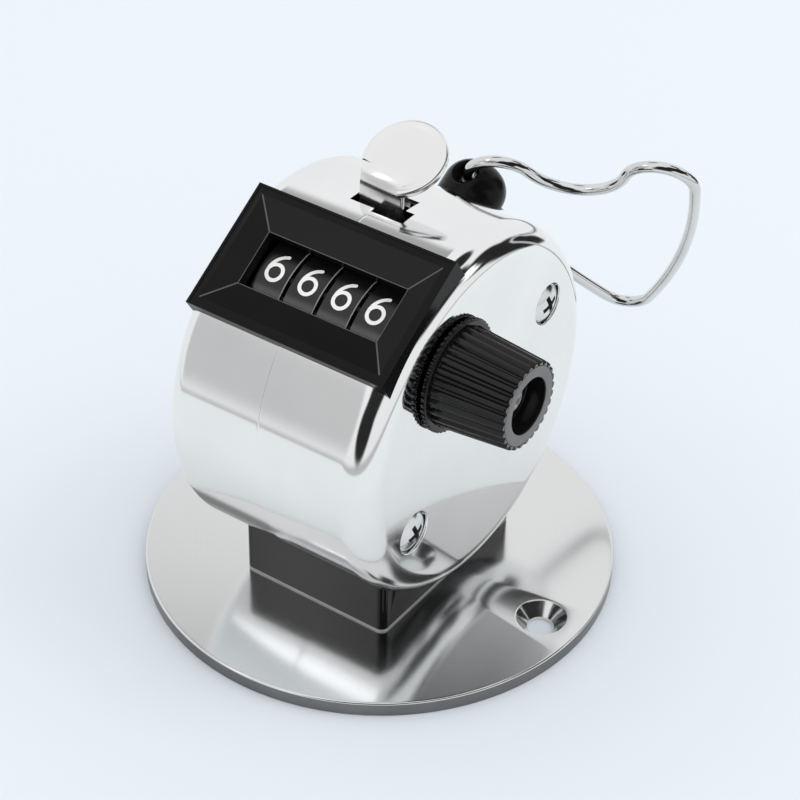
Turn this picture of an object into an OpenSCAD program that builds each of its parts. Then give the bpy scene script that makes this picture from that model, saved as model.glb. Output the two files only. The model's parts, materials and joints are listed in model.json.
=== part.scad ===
// Tally counter on a round base: a two-part drum case with a window, number wheels, a thumb lever,
// a reset knob and a wire finger ring. Millimetres. The origin is the centre of the base's underside,
// +X points to the knob, +Y to the back where the ring hangs, +Z up.

/* [Base] */
// Diameter of the round base plate
base_d = 60; // [56:1:80]
// Thickness of the base plate
base_t = 2; // [1.8:0.1:4]
// Bevel along the upper rim of the base plate
base_bevel = 0.3; // [0.2:0.1:1]
// Distance between the two fixing holes
base_hole_spacing = 49.4; // [44:0.2:52]
// Diameter of a fixing hole
base_hole_d = 3.4; // [2.6:0.1:4.5]
// Diameter of a fixing hole's countersink
base_sink_d = 6.4; // [5:0.1:7.5]

/* [Pedestal] */
// Width of the pedestal along the drum
pedestal_w = 21.4; // [16:0.2:26]
// Depth of the pedestal from front to back
pedestal_l = 28.2; // [20:0.2:34]
// Height of the pedestal under the lowest line of the drum
pedestal_h = 2.95; // [2:0.05:8]
// Radius of the pedestal's upright corners
pedestal_corner_r = 1; // [0.4:0.1:3]

/* [Drum case] */
// Diameter of the drum
drum_d = 47.7; // [46:0.1:56]
// Width of the drum from end to end
drum_w = 29.5; // [28.5:0.1:34]
// Rounding of the right shell's end edge
edge_r = 3.7; // [2:0.1:5]
// Rounding of the left shell's end edge
left_edge_r = 2.4; // [2:0.1:3]
// Wall thickness of the two shells
shell_wall = 0.6; // [0.4:0.05:0.8]
// Place of the seam along the drum
seam_x = -1; // [-2:0.1:-0.5]
// Step from the right shell down to the left shell at the seam
seam_step = 0.15; // [0.1:0.05:0.3]
// Length of the left shell's skirt inside the right shell
seam_lap = 2; // [1:0.1:3]

/* [Window] */
// Elevation of the window above the horizontal
window_elev = 57.5; // [55:0.5:60]
// Width of the bezel along the drum
bezel_w = 28; // [25:0.1:28.4]
// Height of the bezel along its slope
bezel_h = 16.9; // [14:0.1:19]
// Height of the bezel's rim over the drum's highest line below it
bezel_rise = 0.1; // [0.05:0.05:0.4]
// Shift of the bezel up its slope
bezel_up = 0.4; // [0:0.1:0.5]
// Overlap of the bezel on the case round its opening
bezel_lip = 0.9; // [0.7:0.1:1.2]
// Width of the flat rim
bezel_rim = 0.8; // [0.4:0.1:1.4]
// Width of the window
window_w = 19.7; // [19:0.1:20.5]
// Height of the window
window_h = 7.1; // [5.5:0.1:8]
// Depth of the window's edge below the rim
window_depth = 1; // [0.6:0.05:1.2]
// Depth of the bezel's spigot below the window's edge
spigot_depth = 1.5; // [1.2:0.1:1.5]

/* [Number wheels] */
// Diameter of a number wheel
wheel_d = 18.5; // [18:0.1:20]
// Distance from one number wheel to the next
wheel_pitch = 4.8; // [4.8:0.05:4.9]
// Width of a number wheel
wheel_w = 4.3; // [4:0.05:4.3]
// Thickness of a wheel's outer rim
wheel_rim_t = 1.2; // [0.8:0.1:2]
// Thickness of a wheel's web
wheel_web_t = 1.2; // [0.8:0.1:2]
// Diameter of a wheel's hub
wheel_hub_d = 6.4; // [5:0.1:8]
// Gap from the window's edge to the wheels
wheel_gap = 1.3; // [1.1:0.05:2]
// Thickness of the carry gears and their pinions
gear_t = 0.35; // [0.3:0.05:0.35]
// Thickness of the ratchet wheel
ratchet_t = 0.9; // [0.7:0.05:1]
// Teeth of a carry gear
gear_teeth = 20; // [20:1:20]
// Teeth of a transfer pinion
pinion_teeth = 8; // [8:1:8]
// Teeth of the ratchet wheel
ratchet_teeth = 10; // [10:1:10]
// Height of a gear tooth above the pitch circle
gear_addendum = 0.65; // [0.5:0.05:0.75]
// Depth of a gear tooth below the pitch circle
gear_dedendum = 0.9; // [0.8:0.05:1]
// Width of a gear tooth at its foot
tooth_foot_w = 1.1; // [0.9:0.05:1.2]
// Width of a gear tooth at its tip
tooth_tip_w = 0.55; // [0.4:0.05:0.6]
// Height of a ratchet tooth above the pitch circle
ratchet_addendum = 0.75; // [0.5:0.05:0.8]
// Depth of a ratchet tooth below the pitch circle
ratchet_dedendum = 0.95; // [0.8:0.05:1.1]
// Direction of the transfer shaft from the wheel axis, above the horizontal
transfer_angle = -60; // [-70:1:-50]
// Diameter of the transfer shaft
transfer_shaft_d = 1.6; // [1.2:0.1:2]
// Diameter of the spacer that fills the shaft beside the thousands wheel
spacer_d = 5; // [4.2:0.1:6]

/* [Reset knob] */
// Diameter of the reset shaft
shaft_d = 3; // [2.5:0.1:3.5]
// Length of the knob's ribbed body
knob_len = 9.5; // [7:0.1:14]
// Diameter of the ribbed body at the flange
knob_root_d = 12.6; // [11:0.1:15]
// Diameter of the ribbed body at its free end
knob_tip_d = 11; // [10:0.1:12.6]
// Diameter of the knob's flange
flange_d = 14.2; // [13:0.1:17]
// Thickness of the knob's flange
flange_t = 0.7; // [0.6:0.1:1.5]
// Gap from the case to the flange
flange_gap = 0.3; // [0.3:0.05:1]
// Number of grooves between the ribs
rib_count = 28; // [20:1:30]
// Radius of a groove between two ribs
groove_r = 0.42; // [0.3:0.02:0.5]
// Diameter of the hollow in the knob's end
hollow_d = 7; // [5.6:0.1:8]
// Depth of the hollow in the knob's end
hollow_depth = 2.6; // [2:0.1:4]
// Thickness of the knob's floor between the hollow and the shaft
knob_floor = 1.2; // [0.8:0.1:2]
// Length of plain knob between the flange and the grooves
groove_start = 0.3; // [0.2:0.1:1]
// Diameter of the clip on the shaft's far end
clip_d = 5; // [4.6:0.1:6]
// Thickness of the clip
clip_t = 0.4; // [0.3:0.05:0.5]
// Depth of the clip's groove in the shaft
clip_groove = 0.4; // [0.3:0.05:0.5]
// Lip that the clip's mouth has at each side of the groove
clip_lip = 0.2; // [0.1:0.05:0.3]
// Length of the shaft past the clip
shaft_tail = 0.6; // [0.4:0.1:1]
// Width of the groove along the shaft for resetting the wheels
key_w = 0.6; // [0.4:0.1:0.8]
// Depth of the groove along the shaft
key_depth = 0.5; // [0.3:0.05:0.6]

/* [Thumb lever] */
// Place of the lever along the drum
lever_x = 0.2; // [-0.2:0.1:0.4]
// Diameter of the thumb pad
pad_d = 10.4; // [9:0.1:12]
// Thickness of the thumb pad
pad_t = 1.2; // [1:0.1:1.8]
// Depth of the dish in the thumb pad
pad_dish = 0.35; // [0.2:0.05:0.5]
// Width of the rim round the dish
pad_rim = 0.6; // [0.4:0.1:1]
// Lean of the thumb pad back from upright
pad_lean = 61.5; // [50:0.5:70]
// Height of the pad's centre over the top of the drum
pad_rise = 4.85; // [4.6:0.05:6]
// Distance of the pad's centre behind the drum's centre plane
pad_back = 4; // [3.8:0.1:4.6]
// Width of the lever's neck
neck_w = 5.9; // [5:0.1:6]
// Distance of the neck's middle to the left of the pad's middle
neck_shift = 1; // [0.6:0.05:1.1]
// Thickness of the lever's neck
neck_t = 1; // [0.8:0.05:1.2]
// Distance of the neck's front face behind the drum's centre plane
neck_back = 0.3; // [0.2:0.05:0.5]
// Gap from the neck to the slot's left end
slot_left = 0.8; // [0.5:0.1:0.9]
// Gap from the neck to the slot's right side behind its mouth
slot_right = 0.2; // [0.2:0.05:0.4]
// Length of the slot in front of the drum's centre plane
slot_front = 0.4; // [0.3:0.1:0.6]
// Length of the slot behind the drum's centre plane
slot_back = 4; // [3.9:0.1:5]
// Gap from the neck to the right end of the slot's mouth in the right shell
mouth_right = 1.45; // [1:0.05:1.6]
// Length of the mouth in front of the drum's centre plane
mouth_front = 1.3; // [0.7:0.1:1.5]
// Length of the mouth behind the drum's centre plane
mouth_back = 1.2; // [0.8:0.1:1.6]
// Full press of the lever in degrees
lever_travel = 22; // [20:0.5:24]
// Diameter of the lever's pivot pin
lever_pin_d = 2; // [1.6:0.1:2.4]
// Diameter of the lever's hub
lever_hub_d = 4; // [3.6:0.1:4.4]
// Direction of the lever pivot from the wheel axis, above the horizontal
lever_angle = 41; // [38:0.5:43]
// Thickness of the lever's drive arm
arm_t = 0.4; // [0.3:0.05:0.45]
// Distance from the lever pivot to the pawl pin
pawl_pin_reach = 4.6; // [4:0.1:5]
// Diameter of the pawl pin
pawl_pin_d = 1; // [0.8:0.1:1.2]
// Depth of the pawl's nose past the ratchet's pitch circle
nose_depth = 0.63; // [0.4:0.01:0.7]
// Radius of the pawl's nose
nose_r = 0.4; // [0.3:0.05:0.4]
// Metal round the pawl pin in the arm and the pawl
pawl_eye = 0.6; // [0.4:0.05:0.7]
// Wire of the return spring
spring_wire_d = 0.5; // [0.4:0.05:0.5]
// Turns of the return spring
spring_turns = 4; // [3:1:4]
// Gap from one turn of the return spring to the next
coil_gap = 0.12; // [0.1:0.01:0.2]
// Gap from the return spring to its pin
spring_gap = 0.3; // [0.2:0.05:0.4]
// Length of the return spring's two legs
spring_leg = 2.2; // [1.5:0.1:2.6]

/* [Finger ring] */
// Diameter of the ring's wire
wire_d = 1.45; // [1.2:0.05:1.8]
// Half of the ring's width between wire centres
ring_half_w = 14.2; // [13:0.1:18]
// Radius of the ring's two shoulders
shoulder_r = 4.3; // [3.6:0.1:5]
// Drop of the notch below the shoulders' centres
notch_drop = 1.7; // [1.5:0.1:3]
// Distance from the notch to the tip
ring_depth = 28.4; // [24:0.2:34]
// Radius of the ring's tip
tip_r = 3.5; // [2.5:0.1:5]
// Radius of the ring's two flanks
flank_r = 70; // [60:1:100]
// Swing of the ring away from the drum's end direction
ring_swing = 19.5; // [0:0.5:60]
// Elevation of the ring holder's axis at the back of the drum
holder_elev = 30; // [28:0.5:36]
// Shift of the holder up along its tangent
holder_shift = 4.6; // [3:0.1:6]
// Place of the ring's pivot along the drum
holder_x = -1.5; // [-3:0.1:-1.4]
// Height of the ring's pivot over the drum along the holder's axis
pivot_rise = 2.4; // [2.2:0.05:3.2]
// Diameter of the holder
holder_d = 8.2; // [8:0.1:10]
// Height of the holder over the ring's pivot
holder_top = 2.9; // [2.6:0.1:3.6]
// Rounding of the holder's top
holder_round = 3.4; // [2.6:0.1:3.8]
// Distance of the holder's axis below the ring's pivot
holder_drop = 1.5; // [0.5:0.1:1.6]
// Distance of the holder's axis to the right of the ring's pivot
holder_side = 0.5; // [0:0.1:0.6]
// Widening of the holder's hole for the ring's flank, as a share of its length
hole_slope = 0.2; // [0.1:0.02:0.3]
// Diameter of the rivet that fastens the holder
rivet_d = 1.6; // [1.2:0.1:1.8]
// Diameter of the rivet's head
rivet_head_d = 3.6; // [3:0.1:4]
// Thickness of the rivet's head
rivet_head_t = 0.8; // [0.6:0.1:1]
// Length of the rivet over the drum
rivet_grip = 1.2; // [0.8:0.1:1.4]
// Distance of the rivet from the ring's pivot along the drum
rivet_offset = 2.4; // [2.2:0.1:2.8]

/* [Inner frame] */
// Thickness of the frame plates
plate_t = 0.8; // [0.6:0.05:1]
// Width of the frame plates' arms
plate_arm_w = 5; // [4:0.1:5.4]
// Diameter of the frame plates' eyes round pins and pillars
plate_eye_d = 6.2; // [5.8:0.1:6.4]
// Diameter of the frame plates' eyes round the shaft bushes
bush_eye_d = 8; // [7:0.1:9]
// Diameter of the pillars between the shells
pillar_d = 3.2; // [2.8:0.1:3.6]
// Diameter of the sleeves on the pillars
sleeve_d = 5; // [4.6:0.1:5.6]
// Diameter of the shaft bushes
bush_d = 5; // [4.6:0.1:5.2]
// Thickness of a bush's flange
bush_flange_t = 0.5; // [0.4:0.05:0.6]
// Diameter of a bush's flange
bush_flange_d = 6.4; // [5.8:0.1:7]
// Width of the holding pawl's leaf
leaf_w = 0.5; // [0.4:0.05:0.8]
// Diameter of the holding pawl's foot
leaf_foot_d = 3.2; // [2.4:0.1:4]
// Distance of the holding pawl's foot from the transfer shaft
leaf_foot_out = 7.1; // [6:0.1:8.5]

/* [Fasteners] */
// Distance of a case screw from the drum's centre plane
case_screw_y = 13.8; // [13:0.1:14.4]
// Distance of a case screw above or below the drum's axis
case_screw_z = 8.7; // [8:0.1:9.2]
// Diameter of a case screw's shank
case_screw_d = 2; // [1.6:0.1:2.2]
// Diameter of a case screw's head
case_head_d = 5; // [4.4:0.1:5.4]
// Height of a case screw's head
case_head_t = 1.3; // [1:0.1:1.6]
// Gap between a case screw's head and the recess round it
recess_gap = 0.2; // [0.15:0.05:0.5]
// Depth of the recess round a case screw's head
recess_depth = 0.9; // [0.7:0.1:1.1]
// Wall of the boss round a recess
boss_wall = 0.9; // [0.6:0.1:1.1]
// Depth of the boss inside the case
boss_t = 1.2; // [1:0.1:1.5]
// Length of a case screw's thread in its pillar
case_thread = 5; // [4:0.5:8]
// Width of the cross slots in the case and base screws
driver_w = 0.75; // [0.5:0.05:0.9]
// Length of the cross slots in the case and base screws
driver_len = 3; // [2.4:0.1:3.4]
// Depth of the cross slots in the case and base screws
driver_depth = 0.8; // [0.5:0.05:0.9]
// Distance of each base screw from the drum's middle
base_screw_x = 6; // [5:0.1:7]
// Diameter of a base screw's shank
base_screw_d = 3; // [2.5:0.1:3.5]
// Diameter of a base screw's head
base_screw_head_d = 5.6; // [5:0.1:6.4]
// Width of a base screw's nut across its flats
nut_w = 5.5; // [5:0.1:6]
// Height of a base screw's nut
nut_t = 2.4; // [1.8:0.1:2.6]
// Length of a base screw past its nut
screw_tail = 0.5; // [0.2:0.1:1]
// Diameter of the screw in the knob's end
knob_screw_d = 1.6; // [1.4:0.1:1.8]
// Diameter of the knob screw's head
knob_head_d = 3.6; // [3:0.1:4]
// Height of the knob screw's head
knob_head_t = 1.1; // [0.8:0.1:1.4]
// Length of the knob screw's thread in the shaft
knob_thread = 4; // [3:0.5:6]
// Width of the cross slot in the knob screw
knob_driver_w = 0.6; // [0.4:0.05:0.7]
// Length of the cross slot in the knob screw
knob_driver_len = 2.4; // [1.8:0.1:2.6]
// Depth of the cross slot in the knob screw
knob_driver_depth = 0.6; // [0.4:0.05:0.7]

/* [Clearances] */
// Radial clearance of a shaft that turns in a hole
run_clear = 0.05; // [0.03:0.01:0.08]
// Clearance between pieces that are fixed to each other
fix_clear = 0.03; // [0.02:0.01:0.05]
// Spare depth of a threaded hole past its screw
thread_spare = 0.5; // [0.3:0.1:1]
// Gap between pieces that move past each other
move_clear = 0.3; // [0.2:0.02:0.35]

/* [Hidden] */
$fn = 96;

// Overshoot of a cut past the face that it opens
cut = 1;
// Overlap that makes two shapes of one piece a single solid
bite = 0.2;

// Drum and shells
drum_r = drum_d / 2;
half_w = drum_w / 2;
drum_z = base_t + pedestal_h + drum_r;
drum_top = drum_z + drum_r;
left_r = drum_r - seam_step;
skirt_r = drum_r - shell_wall - fix_clear;
wall_end = half_w - shell_wall;

// Nuts of the base screws rest on the round floor of their own shell
nut_corner_r = nut_w / 2 / cos(30);
function floor_r(side) = (side < 0 ? left_r : drum_r) - shell_wall;
function nut_z(side) = drum_z - sqrt(pow(floor_r(side), 2) - pow(nut_corner_r, 2)) + fix_clear;

// Window frame, measured from the drum's axis along the window's normal
rim_level = drum_r + bezel_rise;
window_level = rim_level - window_depth;
spigot_level = window_level - spigot_depth;
opening_w = bezel_w - 2 * bezel_lip;
opening_h = bezel_h - 2 * bezel_lip;

// Axes of the mechanism, as [y, z]
wheel_r = wheel_d / 2;
wheel_offset = window_level - wheel_gap - wheel_r;
function polar(r, a) = [r * cos(a), r * sin(a)];
drum_axis = [0, drum_z];
wheel_axis = drum_axis + polar(wheel_offset, 180 - window_elev);
lever_reach = wheel_r + lever_hub_d / 2 + move_clear;
lever_axis = wheel_axis + polar(lever_reach, lever_angle);
transfer_reach = wheel_r + transfer_shaft_d / 2 + move_clear;
transfer_axis = wheel_axis + polar(transfer_reach, transfer_angle);
pillar_axes = [drum_axis + [case_screw_y, case_screw_z], drum_axis - [case_screw_y, case_screw_z]];

// Places along the wheel shaft
side_gap = (wheel_pitch - wheel_w - gear_t) / 2;
stack_end = 1.5 * wheel_pitch + wheel_w / 2;
ratchet_x = stack_end + side_gap;
plate_x = ratchet_x + ratchet_t + move_clear;
plate_out = plate_x + plate_t;
bush_out = plate_out + bush_flange_t;
clip_x = -bush_out - clip_t - fix_clear;
shaft_left = clip_x - shaft_tail;
knob_x = half_w + flange_gap;
knob_body_x = knob_x + flange_t;
knob_end = knob_body_x + knob_len;
shaft_right = knob_end - hollow_depth - knob_floor;
clip_neck_d = shaft_d - 2 * clip_groove;

// Gear train: the carry gear and pinion share the distance between their shafts
gear_pitch_r = transfer_reach * gear_teeth / (gear_teeth + pinion_teeth);
pinion_pitch_r = transfer_reach - gear_pitch_r;

// Ratchet: one full press turns it by one tooth
ratchet_step = 360 / ratchet_teeth;
ratchet_pitch_r = lever_reach / (1 + ratchet_step / lever_travel);
ratchet_tip_r = ratchet_pitch_r + ratchet_addendum;
ratchet_root_r = ratchet_pitch_r - ratchet_dedendum;
nose_reach = lever_reach - ratchet_pitch_r + nose_depth;
pawl_rest_angle = lever_angle + 180 + lever_travel / 2;
pawl_pin_axis = lever_axis + polar(pawl_pin_reach, pawl_rest_angle);
pawl_eye_d = pawl_pin_d + 2 * pawl_eye;
pawl_x = ratchet_x + arm_t + run_clear;
pawl_t = ratchet_t - arm_t - run_clear;

// Neck of the thumb lever
neck_x = lever_x - neck_shift;

// Screw bosses inside the right shell
recess_d = case_head_d + 2 * recess_gap;
boss_d = recess_d + 2 * boss_wall;
pillar_end = wall_end - boss_t;

// Torsion spring round the lever pin
spring_pitch = spring_wire_d + coil_gap;
spring_r = lever_pin_d / 2 + spring_gap + spring_wire_d / 2;
spring_space = spring_turns * spring_pitch + spring_wire_d;
spring_steps = 12;
spring_sides = 8;

// Ring pivot and holder, measured in the holder's frame
pivot_level = drum_r + pivot_rise;
holder_v = holder_shift - holder_drop;
rivet_x = holder_x - rivet_offset;
hole_arc_r = shoulder_r - wire_d / 2 - move_clear;
waist_r = shoulder_r - hole_arc_r;
wire_sides = 12;

// Ring outline, measured from the pivot in the ring's own plane: u across, v up
shoulder_u = ring_half_w - shoulder_r;
notch_r = (pow(shoulder_u, 2) + pow(notch_drop, 2) - pow(shoulder_r, 2))
    / (2 * (shoulder_r + notch_drop));
notch_angle = atan2(notch_r - notch_drop, shoulder_u);
tip_v = -notch_drop - ring_depth + tip_r;
flank_base = sqrt(pow(shoulder_u, 2) + pow(tip_v, 2));
flank_a = flank_r - shoulder_r;
flank_b = flank_r - tip_r;
flank_along = (pow(flank_base, 2) + pow(flank_a, 2) - pow(flank_b, 2)) / (2 * flank_base);
flank_across = sqrt(pow(flank_a, 2) - pow(flank_along, 2));
flank_dir = [-shoulder_u, tip_v] / flank_base;
flank_centre = [shoulder_u, 0] + flank_along * flank_dir + flank_across * [flank_dir[1], -flank_dir[0]];
flank_start = atan2(-flank_centre[1], shoulder_u - flank_centre[0]);
flank_stop = atan2(tip_v - flank_centre[1], -flank_centre[0]);

// Placing and sweeping helpers
module along_x(x, len) {
    translate([x, 0, 0]) rotate([90, 0, 90]) linear_extrude(len) children();
}

module turn_about(axis) {
    translate([0, axis[0], axis[1]]) rotate([90, 0, 90]) rotate_extrude() children();
}

module at(p) {
    translate(p) children();
}

module tube_2d(outer_d, inner_d) {
    difference() {
        circle(d = outer_d);
        circle(d = inner_d);
    }
}

module bar_2d(p, q, w) {
    d = q - p;
    translate(p) rotate(atan2(d[1], d[0])) translate([0, -w / 2]) square([norm(d), w]);
}

// A bar with round ends between two points
module link_2d(p, q, w) {
    translate(p) circle(d = w);
    translate(q) circle(d = w);
    bar_2d(p, q, w);
}

module rounded_block(size, r) {
    linear_extrude(size[2]) {
        square([size[0] - 2 * r, size[1]], center = true);
        square([size[0], size[1] - 2 * r], center = true);
        for (sx = [-1, 1], sy = [-1, 1])
            translate([sx * (size[0] / 2 - r), sy * (size[1] / 2 - r)]) circle(r);
    }
}

// Half of the drum's outline: radius across, drum axis up
module drum_half_2d(r, from, to, edge) {
    translate([0, from]) square([r, to - from - edge]);
    translate([0, from]) square([r - edge, to - from]);
    translate([r - edge, to - edge]) circle(edge);
}

module right_half(grow, from) {
    turn_about(drum_axis) drum_half_2d(drum_r + grow, from, half_w + grow, edge_r + grow);
}

module left_half(grow, to) {
    turn_about(drum_axis) mirror([0, 1])
        drum_half_2d(left_r + grow, -to, half_w + grow, left_edge_r + grow);
}

// The space that the closed case fills, for the saddles that rest on it
module case_space() {
    right_half(fix_clear, seam_x);
    left_half(fix_clear, seam_x);
}

// The window's own frame: x along the drum, y up the slope from the bezel's middle, z out of the window
module window_frame() {
    translate([0, 0, drum_z]) rotate([90 - window_elev, 0, 0]) translate([0, bezel_up, 0]) children();
}

// The holder's own frame: x along the drum, y down its tangent, z out of the drum
module holder_frame() {
    translate([0, 0, drum_z]) rotate([holder_elev - 90, 0, 0]) children();
}

module cross_slot(w, len, depth) {
    for (a = [0, 90]) rotate(a) translate([-len / 2, -w / 2, -depth]) cube([len, w, depth + cut]);
}

// Gears and ratchets
module tooth_2d(root_r, tip_r) {
    foot_r = root_r - bite;
    foot = tooth_foot_w / 2;
    tip = tooth_tip_w / 2;
    polygon([[foot_r, -foot], [tip_r, -tip], [tip_r, tip], [foot_r, foot]]);
}

module gear_2d(teeth, root_r, tip_r, phase, bore_d) {
    difference() {
        union() {
            circle(root_r);
            for (i = [0 : teeth - 1])
                rotate(phase + i * 360 / teeth) tooth_2d(root_r, tip_r);
        }
        circle(d = bore_d);
    }
}

// Base and pedestal
module base_plate() {
    color("silver") difference() {
        union() {
            cylinder(d = base_d, h = base_t - base_bevel);
            translate([0, 0, base_t - base_bevel])
                cylinder(d1 = base_d, d2 = base_d - 2 * base_bevel, h = base_bevel);
        }
        for (s = [-1, 1]) {
            translate([s * base_hole_spacing / 2, 0, 0]) fixing_hole();
            translate([s * base_screw_x, 0, 0]) base_screw_form(fix_clear, base_t + cut);
        }
    }
}

module fixing_hole() {
    sink_h = (base_sink_d - base_hole_d) / 2;
    translate([0, 0, -cut]) cylinder(d = base_hole_d, h = base_t + 2 * cut);
    translate([0, 0, base_t - sink_h]) cylinder(d1 = base_hole_d, d2 = base_sink_d, h = sink_h);
}

module base_screw_form(grow, top) {
    head_h = (base_screw_head_d - base_screw_d) / 2;
    cylinder(d1 = base_screw_head_d + 2 * grow, d2 = base_screw_d + 2 * grow, h = head_h);
    translate([0, 0, head_h / 2]) cylinder(d = base_screw_d + 2 * grow, h = top - head_h / 2);
}

module pedestal() {
    color("black") difference() {
        translate([0, 0, base_t]) rounded_block([pedestal_w, pedestal_l, drum_r], pedestal_corner_r);
        case_space();
        pedestal_screw_holes();
    }
}

module pedestal_screw_holes() {
    for (s = [-1, 1]) translate([s * base_screw_x, 0, 0])
        cylinder(d = base_screw_d + 2 * fix_clear, h = drum_z);
}

module base_screws() {
    color("silver") for (s = [-1, 1]) translate([s * base_screw_x, 0, 0]) difference() {
        base_screw_form(0, nut_z(s) + nut_t + screw_tail);
        rotate([180, 0, 0]) cross_slot(driver_w, driver_len, driver_depth);
    }
}

module base_nuts() {
    color("silver") for (s = [-1, 1]) translate([s * base_screw_x, 0, nut_z(s)]) difference() {
        cylinder(r = nut_corner_r, h = nut_t, $fn = 6);
        translate([0, 0, -cut]) cylinder(d = base_screw_d + 2 * fix_clear, h = nut_t + 2 * cut);
    }
}

// Case
module window_opening() {
    window_frame() translate([-opening_w / 2, -opening_h / 2, drum_r / 2])
        cube([opening_w, opening_h, drum_r]);
}

module lever_slot() {
    low = drum_z + drum_r / 2;
    left = neck_x - neck_w / 2;
    right = neck_x + neck_w / 2;
    translate([left - slot_left, -slot_front, low])
        cube([slot_left + neck_w + slot_right, slot_front + slot_back, drum_r]);
    translate([seam_x, -mouth_front, low])
        cube([right + mouth_right - seam_x, mouth_front + mouth_back, drum_r]);
}

module rivet_hole() {
    holder_frame() translate([rivet_x, -holder_v, drum_r / 2])
        cylinder(d = rivet_d + 2 * fix_clear, h = drum_r / 2 + rivet_grip + bite);
}

module case_openings() {
    window_opening();
    lever_slot();
    pedestal_screw_holes();
}

// The left shell's skirt, one wall narrower than the right shell that it slides into
module skirt(r, from, to) {
    turn_about(drum_axis) translate([0, from]) square([r, to - from]);
}

module left_shell() {
    shoulder_x = seam_x - shell_wall;
    skirt_end = seam_x + seam_lap;
    color("gainsboro") difference() {
        union() {
            left_half(0, seam_x - fix_clear);
            skirt(skirt_r, shoulder_x, skirt_end);
        }
        left_half(-shell_wall, shoulder_x);
        skirt(skirt_r - shell_wall, shoulder_x - cut, skirt_end + cut);
        case_openings();
        rivet_hole();
        for (p = pillar_axes)
            along_x(-half_w - cut, 2 * cut + shell_wall) at(p) circle(d = case_screw_d + 2 * fix_clear);
    }
}

module right_shell() {
    color("gainsboro") difference() {
        union() {
            difference() {
                right_half(0, seam_x);
                right_half(-shell_wall, seam_x - cut);
            }
            for (p = pillar_axes) along_x(pillar_end, boss_t + shell_wall / 2) at(p) circle(d = boss_d);
        }
        case_openings();
        for (p = pillar_axes) {
            along_x(half_w - recess_depth, recess_depth + cut) at(p) circle(d = recess_d);
            along_x(pillar_end - cut, 2 * cut + boss_t + shell_wall)
                at(p) circle(d = case_screw_d + 4 * fix_clear);
        }
        along_x(wall_end - cut, shell_wall + 2 * cut) at(wheel_axis) circle(d = shaft_d + 4 * move_clear);
    }
}

// The shallow funnel from the rim down to the window
module funnel() {
    run_x = (bezel_w - window_w) / 2 - bezel_rim;
    run_y = (bezel_h - window_h) / 2 - bezel_rim;
    wide_x = window_w / 2 + run_x * (1 + bite / window_depth);
    wide_y = window_h / 2 + run_y * (1 + bite / window_depth);
    top = rim_level + bite;
    intersection() {
        rotate([90, 0, 0]) linear_extrude(2 * bezel_h, center = true) polygon([
            [-window_w / 2, window_level], [window_w / 2, window_level], [wide_x, top], [-wide_x, top]]);
        rotate([90, 0, 90]) linear_extrude(2 * bezel_w, center = true) polygon([
            [-window_h / 2, window_level], [window_h / 2, window_level], [wide_y, top], [-wide_y, top]]);
    }
}

module window_bezel() {
    spigot_w = opening_w - 2 * fix_clear;
    spigot_h = opening_h - 2 * fix_clear;
    block_low = drum_r - 2 * edge_r;
    color("black") difference() {
        union() {
            difference() {
                window_frame() translate([-bezel_w / 2, -bezel_h / 2, block_low])
                    cube([bezel_w, bezel_h, rim_level - block_low]);
                case_space();
            }
            window_frame() translate([-spigot_w / 2, -spigot_h / 2, spigot_level])
                cube([spigot_w, spigot_h, rim_level - bite / 2 - spigot_level]);
        }
        window_frame() translate([-window_w / 2, -window_h / 2, drum_r / 2])
            cube([window_w, window_h, drum_r]);
        window_frame() funnel();
    }
}

module case_pillars() {
    color("dimgray") for (p = pillar_axes) difference() {
        union() {
            along_x(-wall_end, wall_end + pillar_end) at(p) circle(d = pillar_d);
            along_x(-half_w, half_w) at(p) circle(d = case_screw_d);
        }
        along_x(pillar_end - case_thread - thread_spare, case_thread + thread_spare + cut)
            at(p) circle(d = case_screw_d + 2 * fix_clear);
    }
}

module case_screws() {
    seat = half_w - recess_depth;
    dome_r = (pow(case_head_d / 2, 2) + pow(case_head_t / 2, 2)) / case_head_t;
    color("silver") for (p = pillar_axes) difference() {
        union() {
            along_x(pillar_end - case_thread, seat - pillar_end + case_thread + bite)
                at(p) circle(d = case_screw_d);
            turn_about(p) translate([0, seat]) {
                square([case_head_d / 2, case_head_t / 2]);
                intersection() {
                    translate([0, case_head_t - dome_r]) circle(dome_r);
                    translate([0, case_head_t / 4]) square([case_head_d / 2, case_head_t]);
                }
            }
        }
        translate([seat + case_head_t, p[0], p[1]]) rotate([0, 90, 0])
            cross_slot(driver_w, driver_len, driver_depth);
    }
}

// Inner frame
module frame_outline() {
    at(wheel_axis) circle(d = bush_eye_d);
    for (p = [lever_axis, transfer_axis, pillar_axes[0], pillar_axes[1]]) at(p) circle(d = plate_eye_d);
    bar_2d(wheel_axis, lever_axis, plate_arm_w);
    bar_2d(wheel_axis, transfer_axis, plate_arm_w);
    bar_2d(lever_axis, pillar_axes[0], plate_arm_w);
    bar_2d(transfer_axis, pillar_axes[0], plate_arm_w);
    bar_2d(transfer_axis, pillar_axes[1], plate_arm_w);
}

module frame_plate(x) {
    color("darkgray") along_x(x, plate_t) difference() {
        frame_outline();
        at(wheel_axis) circle(d = bush_d + 2 * fix_clear);
        at(lever_axis) circle(d = lever_pin_d + 2 * fix_clear);
        at(transfer_axis) circle(d = transfer_shaft_d + 2 * fix_clear);
        for (p = pillar_axes) at(p) circle(d = pillar_d + 2 * fix_clear);
    }
}

module frame_plate_left() {
    frame_plate(-plate_out);
}

module frame_plate_right() {
    frame_plate(plate_x);
}

module frame_sleeves() {
    color("darkgray") for (p = pillar_axes) {
        sleeve(p, -wall_end, -plate_out);
        sleeve(p, -plate_x, plate_x);
        sleeve(p, plate_out, pillar_end);
    }
}

module sleeve(p, from, to) {
    along_x(from, to - from) at(p) tube_2d(sleeve_d, pillar_d + 2 * fix_clear);
}

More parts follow.
